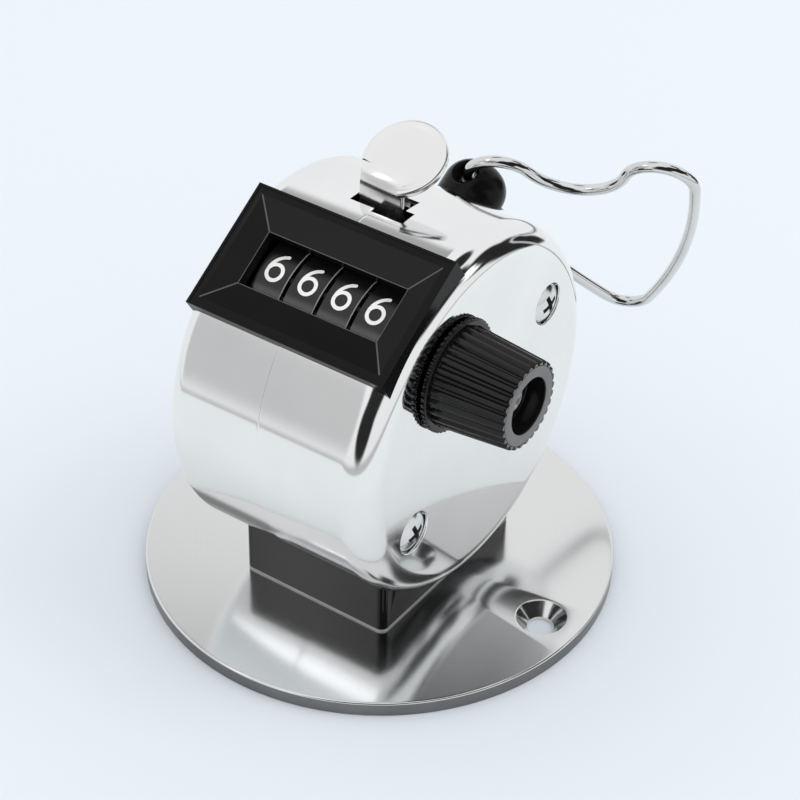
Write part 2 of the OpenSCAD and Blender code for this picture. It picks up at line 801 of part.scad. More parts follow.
module shaft_bushes() {
    color("goldenrod") for (side = [0, 1]) mirror([side, 0, 0]) difference() {
        union() {
            along_x(plate_x, plate_t + bush_flange_t) at(wheel_axis) circle(d = bush_d);
            along_x(plate_out, bush_flange_t) at(wheel_axis) circle(d = bush_flange_d);
        }
        along_x(plate_x - cut, plate_t + bush_flange_t + 2 * cut)
            at(wheel_axis) circle(d = shaft_d + 2 * run_clear);
    }
}

module lever_pin() {
    color("silver") along_x(-plate_out, 2 * plate_out) at(lever_axis) circle(d = lever_pin_d);
}

module transfer_shaft() {
    color("silver") along_x(-plate_out, 2 * plate_out) at(transfer_axis) circle(d = transfer_shaft_d);
}

// A leaf on the right frame plate that keeps the ratchet from turning back
module holding_pawl() {
    arm = pillar_axes[1] - transfer_axis;
    foot = transfer_axis + leaf_foot_out * arm / norm(arm);
    lead = wheel_axis - foot;
    tip = wheel_axis - lead / norm(lead) * (ratchet_tip_r + move_clear + leaf_w / 2);
    color("silver") {
        along_x(ratchet_x, ratchet_t) link_2d(foot, tip, leaf_w);
        along_x(ratchet_x, plate_x - ratchet_x) at(foot) circle(d = leaf_foot_d);
    }
}

// Thumb lever: the pad ends at the neck's front face, where the sheet bends down
module lever_pad() {
    difference() {
        translate([lever_x, pad_back, drum_top + pad_rise]) rotate([90 - pad_lean, 0, 0]) difference() {
            translate([0, 0, -pad_t / 2]) cylinder(d = pad_d, h = pad_t);
            translate([0, 0, pad_t / 2 - pad_dish]) cylinder(d = pad_d - 2 * pad_rim, h = pad_t);
        }
        translate([lever_x - pad_d, neck_back - pad_d, drum_top]) cube([2 * pad_d, pad_d, 2 * pad_rise]);
    }
}

module thumb_lever() {
    neck_mid = neck_back + neck_t / 2;
    neck_top = drum_top + pad_rise - (pad_back - neck_mid) / tan(pad_lean) - pad_t / 4;
    hub_from = -plate_x + spring_space + 2 * move_clear;
    hub_to = ratchet_x + arm_t;
    color("silver") difference() {
        union() {
            lever_pad();
            along_x(neck_x - neck_w / 2, neck_w) translate([neck_back, lever_axis[1]])
                square([neck_t, neck_top - lever_axis[1]]);
            along_x(hub_from, hub_to - hub_from) at(lever_axis) circle(d = lever_hub_d);
            along_x(ratchet_x, arm_t) link_2d(lever_axis, pawl_pin_axis, pawl_eye_d);
        }
        along_x(hub_from - cut, hub_to - hub_from + 2 * cut)
            at(lever_axis) circle(d = lever_pin_d + 2 * run_clear);
        along_x(ratchet_x - cut, arm_t + 2 * cut)
            at(pawl_pin_axis) circle(d = pawl_pin_d + 2 * fix_clear);
    }
}

module drive_pawl() {
    nose_at = lever_axis + polar(nose_reach - nose_r, pawl_rest_angle);
    color("silver") along_x(pawl_x, pawl_t) difference() {
        union() {
            at(pawl_pin_axis) circle(d = pawl_eye_d);
            link_2d(pawl_pin_axis, nose_at, 2 * nose_r);
        }
        at(pawl_pin_axis) circle(d = pawl_pin_d + 2 * fix_clear);
    }
}

module pawl_pin() {
    color("silver") along_x(ratchet_x, ratchet_t) at(pawl_pin_axis) circle(d = pawl_pin_d);
}

// The return spring's wire: its turns from left to right, with a straight leg at each end
function spring_points() = let (
    turn = [for (i = [0 : spring_turns * spring_steps])
        let (a = 90 - i * 360 / spring_steps)
        [i * spring_pitch / spring_steps, spring_r * cos(a), spring_r * sin(a)]],
    last = turn[len(turn) - 1]
) concat([turn[0] + [0, -spring_leg, 0]], turn, [last + [0, spring_leg, 0]]);

// A tube of even width along a list of points, round a ring where the list is a loop
module swept_tube(points, d, sides, flat, loop = false) {
    n = len(points);
    rings = [for (i = [0 : n - 1])
        let (
            before = points[loop ? (i + n - 1) % n : max(i - 1, 0)],
            after = points[loop ? (i + 1) % n : min(i + 1, n - 1)],
            dir = (after - before) / norm(after - before),
            side = cross(dir, flat),
            across = side / norm(side),
            up = cross(across, dir)
        )
        for (k = [0 : sides - 1])
            points[i] + d / 2 * (cos(k * 360 / sides) * across + sin(k * 360 / sides) * up)];
    walls = [for (i = [0 : loop ? n - 1 : n - 2], k = [0 : sides - 1])
        let (
            a = i * sides + k,
            b = i * sides + (k + 1) % sides,
            c = (i + 1) % n * sides + k,
            d = (i + 1) % n * sides + (k + 1) % sides
        )
        each [[a, b, d], [a, d, c]]];
    last = (n - 1) * sides;
    start = loop ? [] : [for (k = [1 : sides - 2]) [0, k + 1, k]];
    stop = loop ? [] : [for (k = [1 : sides - 2]) [last, last + k, last + k + 1]];
    polyhedron(rings, concat(walls, start, stop), convexity = 8);
}

module return_spring() {
    color("silver") translate([-plate_x + move_clear + spring_wire_d / 2, lever_axis[0], lever_axis[1]])
        swept_tube(spring_points(), spring_wire_d, spring_sides, [1, 0, 0]);
}

// Reset knob and shaft
module knob_outline() {
    translate([0, knob_x]) square([flange_d / 2, flange_t]);
    polygon([[0, knob_body_x], [knob_root_d / 2, knob_body_x], [knob_tip_d / 2, knob_end], [0, knob_end]]);
}

module knob_grooves() {
    taper = atan2((knob_root_d - knob_tip_d) / 2, knob_len);
    for (i = [0 : rib_count - 1]) translate([knob_body_x, wheel_axis[0], wheel_axis[1]])
        rotate([i * 360 / rib_count, 0, 0]) translate([0, 0, knob_root_d / 2])
            rotate([0, 90 + taper, 0]) translate([0, 0, groove_start])
                cylinder(r = groove_r, h = knob_len + cut);
}

module reset_knob() {
    color("black") difference() {
        turn_about(wheel_axis) knob_outline();
        knob_grooves();
        along_x(knob_end - hollow_depth, hollow_depth + cut) at(wheel_axis) circle(d = hollow_d);
        along_x(knob_x - cut, shaft_right - knob_x + cut)
            at(wheel_axis) circle(d = shaft_d + 2 * fix_clear);
        along_x(knob_x, knob_len + flange_t) at(wheel_axis) circle(d = knob_screw_d + 4 * fix_clear);
    }
}

module knob_screw() {
    seat = knob_end - hollow_depth;
    color("dimgray") difference() {
        union() {
            along_x(seat, knob_head_t) at(wheel_axis) circle(d = knob_head_d);
            along_x(shaft_right - knob_thread, seat - shaft_right + knob_thread + bite)
                at(wheel_axis) circle(d = knob_screw_d);
        }
        translate([seat + knob_head_t, wheel_axis[0], wheel_axis[1]]) rotate([0, 90, 0])
            cross_slot(knob_driver_w, knob_driver_len, knob_driver_depth);
    }
}

module reset_shaft() {
    key_floor = wheel_axis[1] + shaft_d / 2 - key_depth;
    screw_hole = knob_thread + thread_spare;
    color("silver") difference() {
        along_x(shaft_left, shaft_right - shaft_left) at(wheel_axis) circle(d = shaft_d);
        along_x(clip_x - fix_clear, clip_t + 2 * fix_clear)
            at(wheel_axis) tube_2d(shaft_d + cut, clip_neck_d);
        along_x(shaft_right - screw_hole, screw_hole + cut)
            at(wheel_axis) circle(d = knob_screw_d + 2 * fix_clear);
        translate([-stack_end, wheel_axis[0] - key_w / 2, key_floor]) cube([2 * stack_end, key_w, cut]);
    }
}

module shaft_clip() {
    color("dimgray") along_x(clip_x, clip_t) at(wheel_axis) difference() {
        tube_2d(clip_d, clip_neck_d + 2 * fix_clear);
        translate([0, clip_lip - clip_neck_d / 2]) square([clip_d, clip_neck_d - 2 * clip_lip]);
    }
}

module wheel_spacer() {
    from = -plate_x + run_clear;
    color("white") along_x(from, plate_x - run_clear - stack_end - side_gap)
        at(wheel_axis) tube_2d(spacer_d, shaft_d + 2 * fix_clear);
}

// Number wheels, from the units at the knob's side to the thousands
module number_wheel(place) {
    x = (1.5 - place) * wheel_pitch - wheel_w / 2;
    bore_r = shaft_d / 2 + run_clear;
    color("black") turn_about(wheel_axis) translate([0, x]) {
        translate([wheel_r - wheel_rim_t, 0]) square([wheel_rim_t, wheel_w]);
        translate([bore_r, wheel_w - wheel_web_t]) square([wheel_r - wheel_rim_t / 2 - bore_r, wheel_web_t]);
        translate([bore_r, 0]) square([wheel_hub_d / 2 - bore_r, wheel_w]);
    }
}

module number_wheel_units() {
    number_wheel(0);
}

module number_wheel_tens() {
    number_wheel(1);
}

module number_wheel_hundreds() {
    number_wheel(2);
}

module number_wheel_thousands() {
    number_wheel(3);
}

module ratchet_wheel() {
    color("white") along_x(ratchet_x, ratchet_t) at(wheel_axis)
        gear_2d(ratchet_teeth, ratchet_root_r, ratchet_tip_r, lever_angle, shaft_d + 2 * run_clear);
}

function gear_x(place) = (1.5 - place) * wheel_pitch + wheel_w / 2 + side_gap;

module carry_gear(place) {
    color("white") along_x(gear_x(place), gear_t) at(wheel_axis)
        gear_2d(gear_teeth, gear_pitch_r - gear_dedendum, gear_pitch_r + gear_addendum,
            transfer_angle, shaft_d + 2 * run_clear);
}

module transfer_pinion(place) {
    color("white") along_x(gear_x(place), gear_t) at(transfer_axis)
        gear_2d(pinion_teeth, pinion_pitch_r - gear_dedendum, pinion_pitch_r + gear_addendum,
            transfer_angle + 180 + 180 / pinion_teeth, transfer_shaft_d + 2 * run_clear);
}

module carry_gear_tens() {
    carry_gear(1);
}

module carry_gear_hundreds() {
    carry_gear(2);
}

module carry_gear_thousands() {
    carry_gear(3);
}

module transfer_pinion_tens() {
    transfer_pinion(1);
}

module transfer_pinion_hundreds() {
    transfer_pinion(2);
}

module transfer_pinion_thousands() {
    transfer_pinion(3);
}

// Finger ring and its holder
// The room that the ring's wire sweeps as it swings: an arc above the pivot, a cone below it
module ring_sweep() {
    reach = holder_d;
    translate([holder_x, -holder_shift, pivot_level]) rotate([90, 0, 0]) {
        rotate_extrude() difference() {
            square([reach, reach]);
            translate([shoulder_r, 0]) circle(hole_arc_r);
            translate([shoulder_r, 0]) square([reach, hole_arc_r]);
        }
        mirror([0, 0, 1]) cylinder(r1 = waist_r, r2 = waist_r + hole_slope * reach, h = reach);
    }
}

module ring_holder() {
    top = pivot_level + holder_top;
    color("black") difference() {
        holder_frame() translate([holder_x + holder_side, -holder_v, 0]) rotate_extrude() intersection() {
            drum_half_2d(holder_d / 2, drum_r / 2, top, holder_round);
            square(drum_d);
        }
        case_space();
        holder_frame() ring_sweep();
        rivet_hole();
    }
}

module holder_rivet() {
    seat = sqrt(pow(left_r - shell_wall, 2) - pow(holder_v + rivet_head_d / 2, 2)) - fix_clear;
    color("silver") holder_frame() translate([rivet_x, -holder_v, 0]) {
        translate([0, 0, seat - rivet_head_t]) cylinder(d = rivet_head_d, h = rivet_head_t);
        translate([0, 0, seat - bite]) cylinder(d = rivet_d, h = drum_r + rivet_grip - seat + bite);
    }
}

// Points of an arc in the ring's plane, without its last one
function arc_points(centre, r, from, to, steps) = [for (i = [0 : steps - 1])
    let (a = from + (to - from) * i / steps)
    [centre[0] + r * cos(a), centre[1] + r * sin(a), 0]];

// The ring's right half from the notch to just before the tip
function ring_half() = concat(
    arc_points([0, notch_r - notch_drop], notch_r, -90, -notch_angle, 6),
    arc_points([shoulder_u, 0], shoulder_r, 180 - notch_angle, flank_start, 14),
    arc_points(flank_centre, flank_r, flank_start, flank_stop, 8),
    arc_points([0, tip_v], tip_r, flank_stop, -90, 6));

function ring_points() = let (half = ring_half(), n = len(half)) concat(
    half,
    [[0, tip_v - tip_r, 0]],
    [for (i = [n - 1 : -1 : 1]) [-half[i][0], half[i][1], 0]]);

module wire_ring() {
    color("silver") holder_frame() translate([holder_x, -holder_shift, pivot_level])
        rotate([0, -ring_swing, 0]) rotate([180, 0, 0]) translate([ring_half_w, 0, 0])
            swept_tube(ring_points(), wire_d, wire_sides, [0, 0, 1], loop = true);
}

base_plate();
pedestal();
base_screws();
base_nuts();
left_shell();
right_shell();
window_bezel();
case_pillars();
case_screws();
frame_plate_left();
frame_plate_right();
frame_sleeves();
shaft_bushes();
lever_pin();
transfer_shaft();
holding_pawl();
ring_holder();
holder_rivet();
thumb_lever();
drive_pawl();
pawl_pin();
return_spring();
reset_knob();
knob_screw();
reset_shaft();
shaft_clip();
wheel_spacer();
number_wheel_units();
number_wheel_tens();
number_wheel_hundreds();
number_wheel_thousands();
ratchet_wheel();
carry_gear_tens();
carry_gear_hundreds();
carry_gear_thousands();
transfer_pinion_tens();
transfer_pinion_hundreds();
transfer_pinion_thousands();
wire_ring();
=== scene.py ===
import bpy
import bmesh
import json
from math import acos, asin, atan2, ceil, cos, degrees, dist, hypot, pi, radians, sin, sqrt, tan
from mathutils import Matrix, Vector


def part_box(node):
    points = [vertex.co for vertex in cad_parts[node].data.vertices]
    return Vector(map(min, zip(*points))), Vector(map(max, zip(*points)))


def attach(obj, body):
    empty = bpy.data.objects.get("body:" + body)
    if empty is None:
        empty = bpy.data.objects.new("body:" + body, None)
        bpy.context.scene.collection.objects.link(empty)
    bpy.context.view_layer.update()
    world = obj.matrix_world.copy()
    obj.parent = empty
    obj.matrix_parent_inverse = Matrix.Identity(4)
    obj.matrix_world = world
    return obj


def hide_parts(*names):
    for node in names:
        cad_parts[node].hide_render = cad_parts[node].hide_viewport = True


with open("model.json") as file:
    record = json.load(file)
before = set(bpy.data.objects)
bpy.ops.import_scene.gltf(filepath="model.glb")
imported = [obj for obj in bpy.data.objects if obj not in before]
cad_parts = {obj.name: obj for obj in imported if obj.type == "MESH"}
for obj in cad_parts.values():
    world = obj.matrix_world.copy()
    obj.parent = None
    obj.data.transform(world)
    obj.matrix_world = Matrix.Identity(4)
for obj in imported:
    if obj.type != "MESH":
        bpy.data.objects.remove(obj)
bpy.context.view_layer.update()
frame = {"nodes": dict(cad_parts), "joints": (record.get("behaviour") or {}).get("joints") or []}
nodes = frame["nodes"]
scene = bpy.context.scene
scene.view_settings.view_transform = "Standard"

# pieces are modelled in millimetres and handed over in metres
mm = 0.001
tiny = 1e-6
past = 1  # how far a cutting tool reaches past a surface
xAxis, yAxis, zAxis = Vector((1, 0, 0)), Vector((0, 1, 0)), Vector((0, 0, 1))
zToX = Matrix(((0, 0, 1), (0, 1, 0), (-1, 0, 0))).to_4x4()  # turns the Z axis to X


def nodeBox(name):
    low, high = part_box(name)
    return low / mm, high / mm


joints = {joint["name"]: Vector(joint["pos_m"]) / mm for joint in frame["joints"]}
rightLow, rightHigh = nodeBox("right_shell")
leftLow, leftHigh = nodeBox("left_shell")
drumRadius = (rightHigh.z - rightLow.z) / 2
drumCentre = Vector((0, 0, (rightHigh.z + rightLow.z) / 2))
leftRadius = (leftHigh.z - leftLow.z) / 2
halfWidth = rightHigh.x
cutFrom, cutTo = drumRadius / 2, drumRadius * 1.5  # tools through the drum's wall run between these
wheelCentre = Vector((0, *joints["reset_turn"].yz))
leverCentre = Vector((0, *joints["lever_press"].yz))
ringPivot = joints["ring_swing"]
windowElevation = 57.5
windowShift = 0.4
windowPlace = Matrix.Translation(drumCentre) @ Matrix.Rotation(radians(90 - windowElevation), 4, "X")
windowPlace = windowPlace @ Matrix.Translation((0, windowShift, 0))
print("frame loaded, drum", round(drumRadius, 3), "centre", drumCentre)


# mesh helpers

def newObject(name, data):
    obj = bpy.data.objects.new(name, data)
    scene.collection.objects.link(obj)
    return obj


def meshObject(name, bm):
    bmesh.ops.recalc_face_normals(bm, faces=bm.faces)
    mesh = bpy.data.meshes.new(name)
    bm.to_mesh(mesh)
    bm.free()
    return newObject(name, mesh)


def ellipse(cx, cy, rx, ry, start, stop, steps=22):
    turn = [radians(start + (stop - start) * i / steps) for i in range(steps + 1)]
    return [(cx + rx * cos(a), cy + ry * sin(a)) for a in turn]


def arc(cx, cy, radius, start, stop, steps):
    return ellipse(cx, cy, radius, radius, start, stop, steps)


def mirrored(half):
    return half + [(-a, b) for a, b in half[::-1]]


def turned(name, profile, centre, axis=xAxis, steps=96, marks=None):
    # closed outline of (radius, distance along) spun about an axis
    along = Vector(axis).normalized()
    side = yAxis if abs(along.y) < 0.9 else zAxis
    side = (side - along * side.dot(along)).normalized()
    up = along.cross(side)
    bm = bmesh.new()
    rings = []
    for radius, distance in profile:
        middle = Vector(centre) + along * distance
        if radius < tiny:
            rings.append([bm.verts.new(middle)])
            continue
        ring = []
        for k in range(steps):
            a = 2 * pi * k / steps
            ring.append(bm.verts.new(middle + (side * cos(a) + up * sin(a)) * radius))
        rings.append(ring)
    for j, ring in enumerate(rings):
        other = rings[(j + 1) % len(rings)]
        if len(ring) == 1 and len(other) == 1:
            continue
        for k in range(steps):
            m = (k + 1) % steps
            # next to a single corner the face is a triangle
            corners = [ring[i % len(ring)] for i in (k, m)] + [other[i % len(other)] for i in (m, k)]
            face = bm.faces.new(list(dict.fromkeys(corners)))
            face.material_index = (marks or {}).get(j, 0)
    return meshObject(name, bm)


def rod(name, radius, start, stop, centre, axis=xAxis, steps=32):
    return turned(name, [(0, start), (radius, start), (radius, stop), (0, stop)], centre, axis, steps)


def block(name, low, high):
    bm = bmesh.new()
    bmesh.ops.create_cube(bm, size=1)
    low, high = Vector(low), Vector(high)
    for v in bm.verts:
        v.co = Vector([low[i] + (v.co[i] + 0.5) * (high[i] - low[i]) for i in range(3)])
    return meshObject(name, bm)


def taperedBlock(name, low, high, place):
    # block along Z whose ends differ: (level, half x, half y)
    bm = bmesh.new()
    bmesh.ops.create_cube(bm, size=2)
    for v in bm.verts:
        level, halfX, halfY = high if v.co.z > 0 else low
        v.co = Vector((v.co.x * halfX, v.co.y * halfY, level))
    bm.transform(place)
    return meshObject(name, bm)


def windowBlock(name, halfX, halfY, low, high):
    return taperedBlock(name, (low, halfX, halfY), (high, halfX, halfY), windowPlace)


def bridge(bm, rows, closed=False):
    # faces between neighbouring rows of corners, with caps unless the run is closed
    count = len(rows[0])
    for a, b in zip(rows, rows[1:] + rows[:1] if closed else rows[1:]):
        for k in range(count):
            m = (k + 1) % count
            bm.faces.new([a[k], a[m], b[m], b[k]])
    if not closed:
        bm.faces.new(rows[0])
        bm.faces.new(rows[-1])


def prism(name, outline, start, stop, axis="X"):
    # flat outline pushed along X (outline in y, z) or Z (outline in x, y)
    bm = bmesh.new()
    rows = []
    for level in (start, stop):
        points = [(level, a, b) if axis == "X" else (a, b, level) for a, b in outline]
        rows.append([bm.verts.new(p) for p in points])
    bridge(bm, rows)
    return meshObject(name, bm)


def bake(obj):
    depsgraph = bpy.context.evaluated_depsgraph_get()
    mesh = bpy.data.meshes.new_from_object(obj.evaluated_get(depsgraph))
    old = obj.data
    obj.modifiers.clear()
    obj.data = mesh
    mesh.name = obj.name
    bpy.data.meshes.remove(old)


def carve(obj, tools, operation="DIFFERENCE"):
    for tool in tools:
        cut = obj.modifiers.new("carve", "BOOLEAN")
        cut.object = tool
        cut.operation = operation
        cut.solver = "MANIFOLD"
    bake(obj)
    for tool in tools:
        bpy.data.objects.remove(tool)


def softenEdges(obj, width, angle, mark=-1):
    bevel = obj.modifiers.new("soften", "BEVEL")
    bevel.width = width
    bevel.segments = 2
    bevel.limit_method = "ANGLE"
    bevel.angle_limit = radians(angle)
    bevel.miter_outer = "MITER_ARC"
    bevel.material = mark
    bake(obj)


def shade(obj, angle):
    for polygon in obj.data.polygons:
        polygon.use_smooth = True
    obj.data.set_sharp_from_angle(angle=radians(angle))


def addFinishes(obj, finishes):
    for item in finishes:
        obj.data.materials.append(item)


def setFinishes(obj, finishes):
    # clearing the finishes also clears the faces' choice of them
    chosen = [min(polygon.material_index, len(finishes) - 1) for polygon in obj.data.polygons]
    obj.data.materials.clear()
    addFinishes(obj, finishes)
    obj.data.polygons.foreach_set("material_index", chosen)


def handOver(obj, body, finishes, replaced=()):
    obj.data.transform(Matrix.Scale(mm, 4))
    setFinishes(obj, finishes)
    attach(obj, body)
    if replaced:
        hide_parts(*replaced)
    print("piece", obj.name, len(obj.data.polygons), "faces")


# node trees

def builder(tree):
    def add(kind, inputs=None, **settings):
        node = tree.nodes.new(kind)
        for label, value in settings.items():
            setattr(node, label, value)
        for socket, value in (inputs or {}).items():
            node.inputs[socket].default_value = value
        return node

    def join(source, target, output=0, socket=0):
        tree.links.new(source.outputs[output], target.inputs[socket])

    return add, join


def geometryTree(name, sockets):
    tree = bpy.data.node_groups.new(name, "GeometryNodeTree")
    for label, kind in {"Geometry": "Geometry", **sockets}.items():
        tree.interface.new_socket(label, in_out="INPUT", socket_type="NodeSocket" + kind)
    tree.interface.new_socket("Geometry", in_out="OUTPUT", socket_type="NodeSocketGeometry")
    return tree, tree.nodes.new("NodeGroupInput"), tree.nodes.new("NodeGroupOutput")


def applyTree(obj, tree, values):
    modifier = obj.modifiers.new(tree.name, "NODES")
    modifier.node_group = tree
    for item in tree.interface.items_tree:
        if item.item_type == "SOCKET" and item.in_out == "INPUT" and item.name in values:
            modifier[item.identifier] = values[item.name]
    bake(obj)


def coatResult(tree, source, start, end):
    # plain mesh with its finish
    add, join = builder(tree)
    real = add("GeometryNodeRealizeInstances")
    coat = add("GeometryNodeSetMaterial")
    join(source, real)
    join(real, coat, 0, "Geometry")
    join(start, coat, "Finish", "Material")
    join(coat, end)
    return tree


def copiesRoundAxis():
    # copies of the object's own mesh, spread evenly round an axis along X
    sockets = {"Count": "Int", "Centre": "Vector", "Finish": "Material"}
    tree, start, end = geometryTree("copiesRoundAxis", sockets)
    add, join = builder(tree)
    points = add("GeometryNodePoints")
    index = add("GeometryNodeInputIndex")
    share = add("ShaderNodeMath", operation="DIVIDE")
    turn = add("ShaderNodeMath", {1: 2 * pi}, operation="MULTIPLY")
    angles = add("ShaderNodeCombineXYZ")
    spread = add("GeometryNodeInstanceOnPoints")
    join(start, points, "Count", "Count")
    join(start, points, "Centre", "Position")
    join(index, share)
    join(start, share, "Count", 1)
    join(share, turn)
    join(turn, angles, 0, "X")
    join(points, spread, 0, "Points")
    join(start, spread, "Geometry", "Instance")
    join(angles, spread, 0, "Rotation")
    return coatResult(tree, spread, start, end)


def wireAlongPath():
    # round wire along a closed run of edges
    sockets = {"Radius": "Float", "Points": "Int", "Sides": "Int", "Finish": "Material"}
    tree, start, end = geometryTree("wireAlongPath", sockets)
    add, join = builder(tree)
    curve = add("GeometryNodeMeshToCurve")
    even = add("GeometryNodeResampleCurve")
    circle = add("GeometryNodeCurvePrimitiveCircle")
    sweep = add("GeometryNodeCurveToMesh")
    smooth = add("GeometryNodeSetShadeSmooth")
    join(start, curve, "Geometry", "Mesh")
    join(curve, even, 0, "Curve")
    join(start, even, "Points", "Count")
    join(start, circle, "Radius", "Radius")
    join(start, circle, "Sides", "Resolution")
    join(even, sweep, 0, "Curve")
    join(circle, sweep, "Curve", "Profile Curve")
    join(sweep, smooth, 0, "Geometry")
    return coatResult(tree, smooth, start, end)


roundTree = copiesRoundAxis()
wireTree = wireAlongPath()
print("node trees built")


# finishes

mixA, mixB, mixOut = 6, 7, 2  # colour sockets of a mix node
reliefDepth = 0.00002


def shaderGroup(name, inputs):
    tree = bpy.data.node_groups.new(name, "ShaderNodeTree")
    tree.interface.new_socket("Vector", in_out="INPUT", socket_type="NodeSocketVector")
    for label, value in inputs.items():
        socket = tree.interface.new_socket(label, in_out="INPUT", socket_type="NodeSocketFloat")
        socket.default_value = value
    for label in ("Tone", "Height"):
        tree.interface.new_socket(label, in_out="OUTPUT", socket_type="NodeSocketFloat")
    return tree, tree.nodes.new("NodeGroupInput"), tree.nodes.new("NodeGroupOutput")


def cloudyMarks():
    # soft handling marks over a fine skin: plating, paint and moulded plastic
    inputs = {"Cloud Scale": 90.0, "Fine Scale": 1500.0, "Fine Share": 0.3}
    tree, start, end = shaderGroup("cloudyMarks", inputs)
    add, join = builder(tree)
    cloud = add("ShaderNodeTexNoise", {"Detail": 3, "Roughness": 0.55})
    fine = add("ShaderNodeTexNoise", {"Detail": 2})
    spread = add("ShaderNodeMapRange", {"From Min": 0.3, "From Max": 0.7})
    blend = add("ShaderNodeMix")
    for texture, scale in ((cloud, "Cloud Scale"), (fine, "Fine Scale")):
        join(start, texture, "Vector", "Vector")
        join(start, texture, scale, "Scale")
    join(cloud, spread, "Fac", "Value")
    join(start, blend, "Fine Share", "Factor")
    join(spread, blend, 0, "A")
    join(fine, blend, "Fac", "B")
    join(blend, end, 0, "Tone")
    join(fine, end, "Fac", "Height")
    return tree


def turnedLines():
    # fine lines round the Z axis of the given vector, with faint clouds across them
    inputs = {"Line Scale": 6000.0, "Cloud Scale": 60.0, "Cloud Share": 0.35}
    tree, start, end = shaderGroup("turnedLines", inputs)
    add, join = builder(tree)
    split = add("ShaderNodeSeparateXYZ")
    flat = add("ShaderNodeCombineXYZ")
    radius = add("ShaderNodeVectorMath", operation="LENGTH")
    lines = add("ShaderNodeTexNoise", {"Detail": 3}, noise_dimensions="1D")
    cloud = add("ShaderNodeTexNoise")
    blend = add("ShaderNodeMix")
    join(start, split, "Vector")
    join(split, flat, "X", "X")
    join(split, flat, "Y", "Y")
    join(flat, radius)
    join(radius, lines, "Value", "W")
    join(start, lines, "Line Scale", "Scale")
    join(start, cloud, "Vector", "Vector")
    join(start, cloud, "Cloud Scale", "Scale")
    join(start, blend, "Cloud Share", "Factor")
    join(lines, blend, "Fac", "A")
    join(cloud, blend, "Fac", "B")
    join(blend, end, 0, "Tone")
    join(lines, end, "Fac", "Height")
    return tree


cloudGroup = cloudyMarks()
lineGroup = turnedLines()


def newMaterial(name, values):
    material = bpy.data.materials.new(name)
    material.use_nodes = True
    surface = material.node_tree.nodes["Principled BSDF"]
    for label, value in values.items():
        surface.inputs[label].default_value = value
    return material, surface, *builder(material.node_tree)


def finish(name, dark, pale, rough, clouds=None, bump=0.0, specular=0.5, metallic=0.0, place=None):
    # clouds: cloud scale, fine scale and fine share, or None for turned lines
    values = {"Metallic": metallic, "Specular IOR Level": specular}
    material, surface, add, join = newMaterial(name, values)
    source, output = add("ShaderNodeTexCoord"), "Object"
    if place:
        spot = {"Location": place[0], "Rotation": place[1]}
        mapping = add("ShaderNodeMapping", spot, vector_type="TEXTURE")
        join(source, mapping, output, "Vector")
        source, output = mapping, 0
    scales = dict(zip(("Cloud Scale", "Fine Scale", "Fine Share"), clouds or ()))
    marks = add("ShaderNodeGroup", scales, node_tree=cloudGroup if clouds else lineGroup)
    colour = add("ShaderNodeMix", {mixA: (*dark, 1), mixB: (*pale, 1)}, data_type="RGBA")
    gloss = add("ShaderNodeMapRange", {"To Min": rough[0], "To Max": rough[1]})
    join(source, marks, output, "Vector")
    join(marks, colour, "Tone")
    join(colour, surface, mixOut, "Base Color")
    join(marks, gloss, "Tone", "Value")
    join(gloss, surface, 0, "Roughness")
    if bump:
        relief = add("ShaderNodeBump", {"Strength": bump, "Distance": reliefDepth})
        join(marks, relief, "Height", "Height")
        join(relief, surface, 0, "Normal")
    return material


def grey(value, blue=0.0):
    return (value, value, value + blue)


def blackFinish(name, rough, clouds, bump, specular):
    return finish(name, grey(0.004, 0.0005), grey(0.008, 0.0005), rough, clouds, bump, specular)


def metalFinish(name, dark, pale, rough, clouds=None, bump=0.0, place=None):
    return finish(name, dark, pale, rough, clouds, bump, metallic=1.0, place=place)


chrome = metalFinish("polishedPlating", (0.8, 0.81, 0.82), (0.87, 0.875, 0.88), (0.06, 0.11), (70, 900, 0.2))
baseSteel = metalFinish("baseSteel", (0.68, 0.685, 0.69), (0.78, 0.785, 0.79), (0.12, 0.17), None, 0.03)
# darker finish for the base plate's sides: painted shade
baseSideShade = metalFinish("baseSideShade", grey(0.15, 0.01), grey(0.24, 0.01), (0.26, 0.36), (80, 3000), 0.1)
ringChrome = metalFinish("ringWire", (0.62, 0.63, 0.64), (0.74, 0.745, 0.75), (0.05, 0.10), (160, 2500))
zinc = metalFinish("zincScrew", (0.62, 0.63, 0.64), (0.78, 0.79, 0.80), (0.14, 0.24), (500, 5000), 0.1)
frameSteel = metalFinish("frameSteel", (0.52, 0.53, 0.54), (0.64, 0.65, 0.66), (0.3, 0.42), (200, 3000), 0.1)
brass = metalFinish("bushBrass", (0.62, 0.44, 0.20), (0.74, 0.55, 0.28), (0.22, 0.34), (300, 3000), 0.1)
satinZinc = finish("satinZinc", (0.52, 0.53, 0.54), (0.66, 0.67, 0.68), (0.28, 0.38), (500, 5000), 0.1,
                   metallic=0.4)
blackGloss = blackFinish("blackGloss", (0.18, 0.25), (120, 5000, 0.4), 0.1, 0.11)
blackSatin = blackFinish("blackSatin", (0.17, 0.24), (140, 6000, 0.4), 0.12, 0.24)
wheelBlack = blackFinish("wheelBlack", (0.15, 0.21), (200, 5000, 0.4), 0.08, 0.45)
knobBlack = blackFinish("knobBlack", (0.09, 0.14), (140, 6000, 0.4), 0.08, 0.3)
# pale finish for the bezel's rounded creases: a painted highlight
bezelCreaseHighlight = finish("bezelCreaseHighlight", grey(0.07, 0.002), grey(0.11, 0.002), (0.2, 0.3), (300, 5000, 0.4),
                     0.1, 0.3)
# pale finish for the wheels' edge chamfer: a painted highlight
wheelEdgeHighlight = finish("wheelEdgeHighlight", grey(0.26), grey(0.36), (0.35, 0.45), (300, 4000))
digitWhite = finish("digitWhite", grey(0.90, -0.01), grey(0.97, -0.01), (0.45, 0.55), (600, 6000))
knobGrey = finish("knobEnd", grey(0.11, 0.003), grey(0.15, 0.004), (0.36, 0.46), (300, 7000), 0.2)
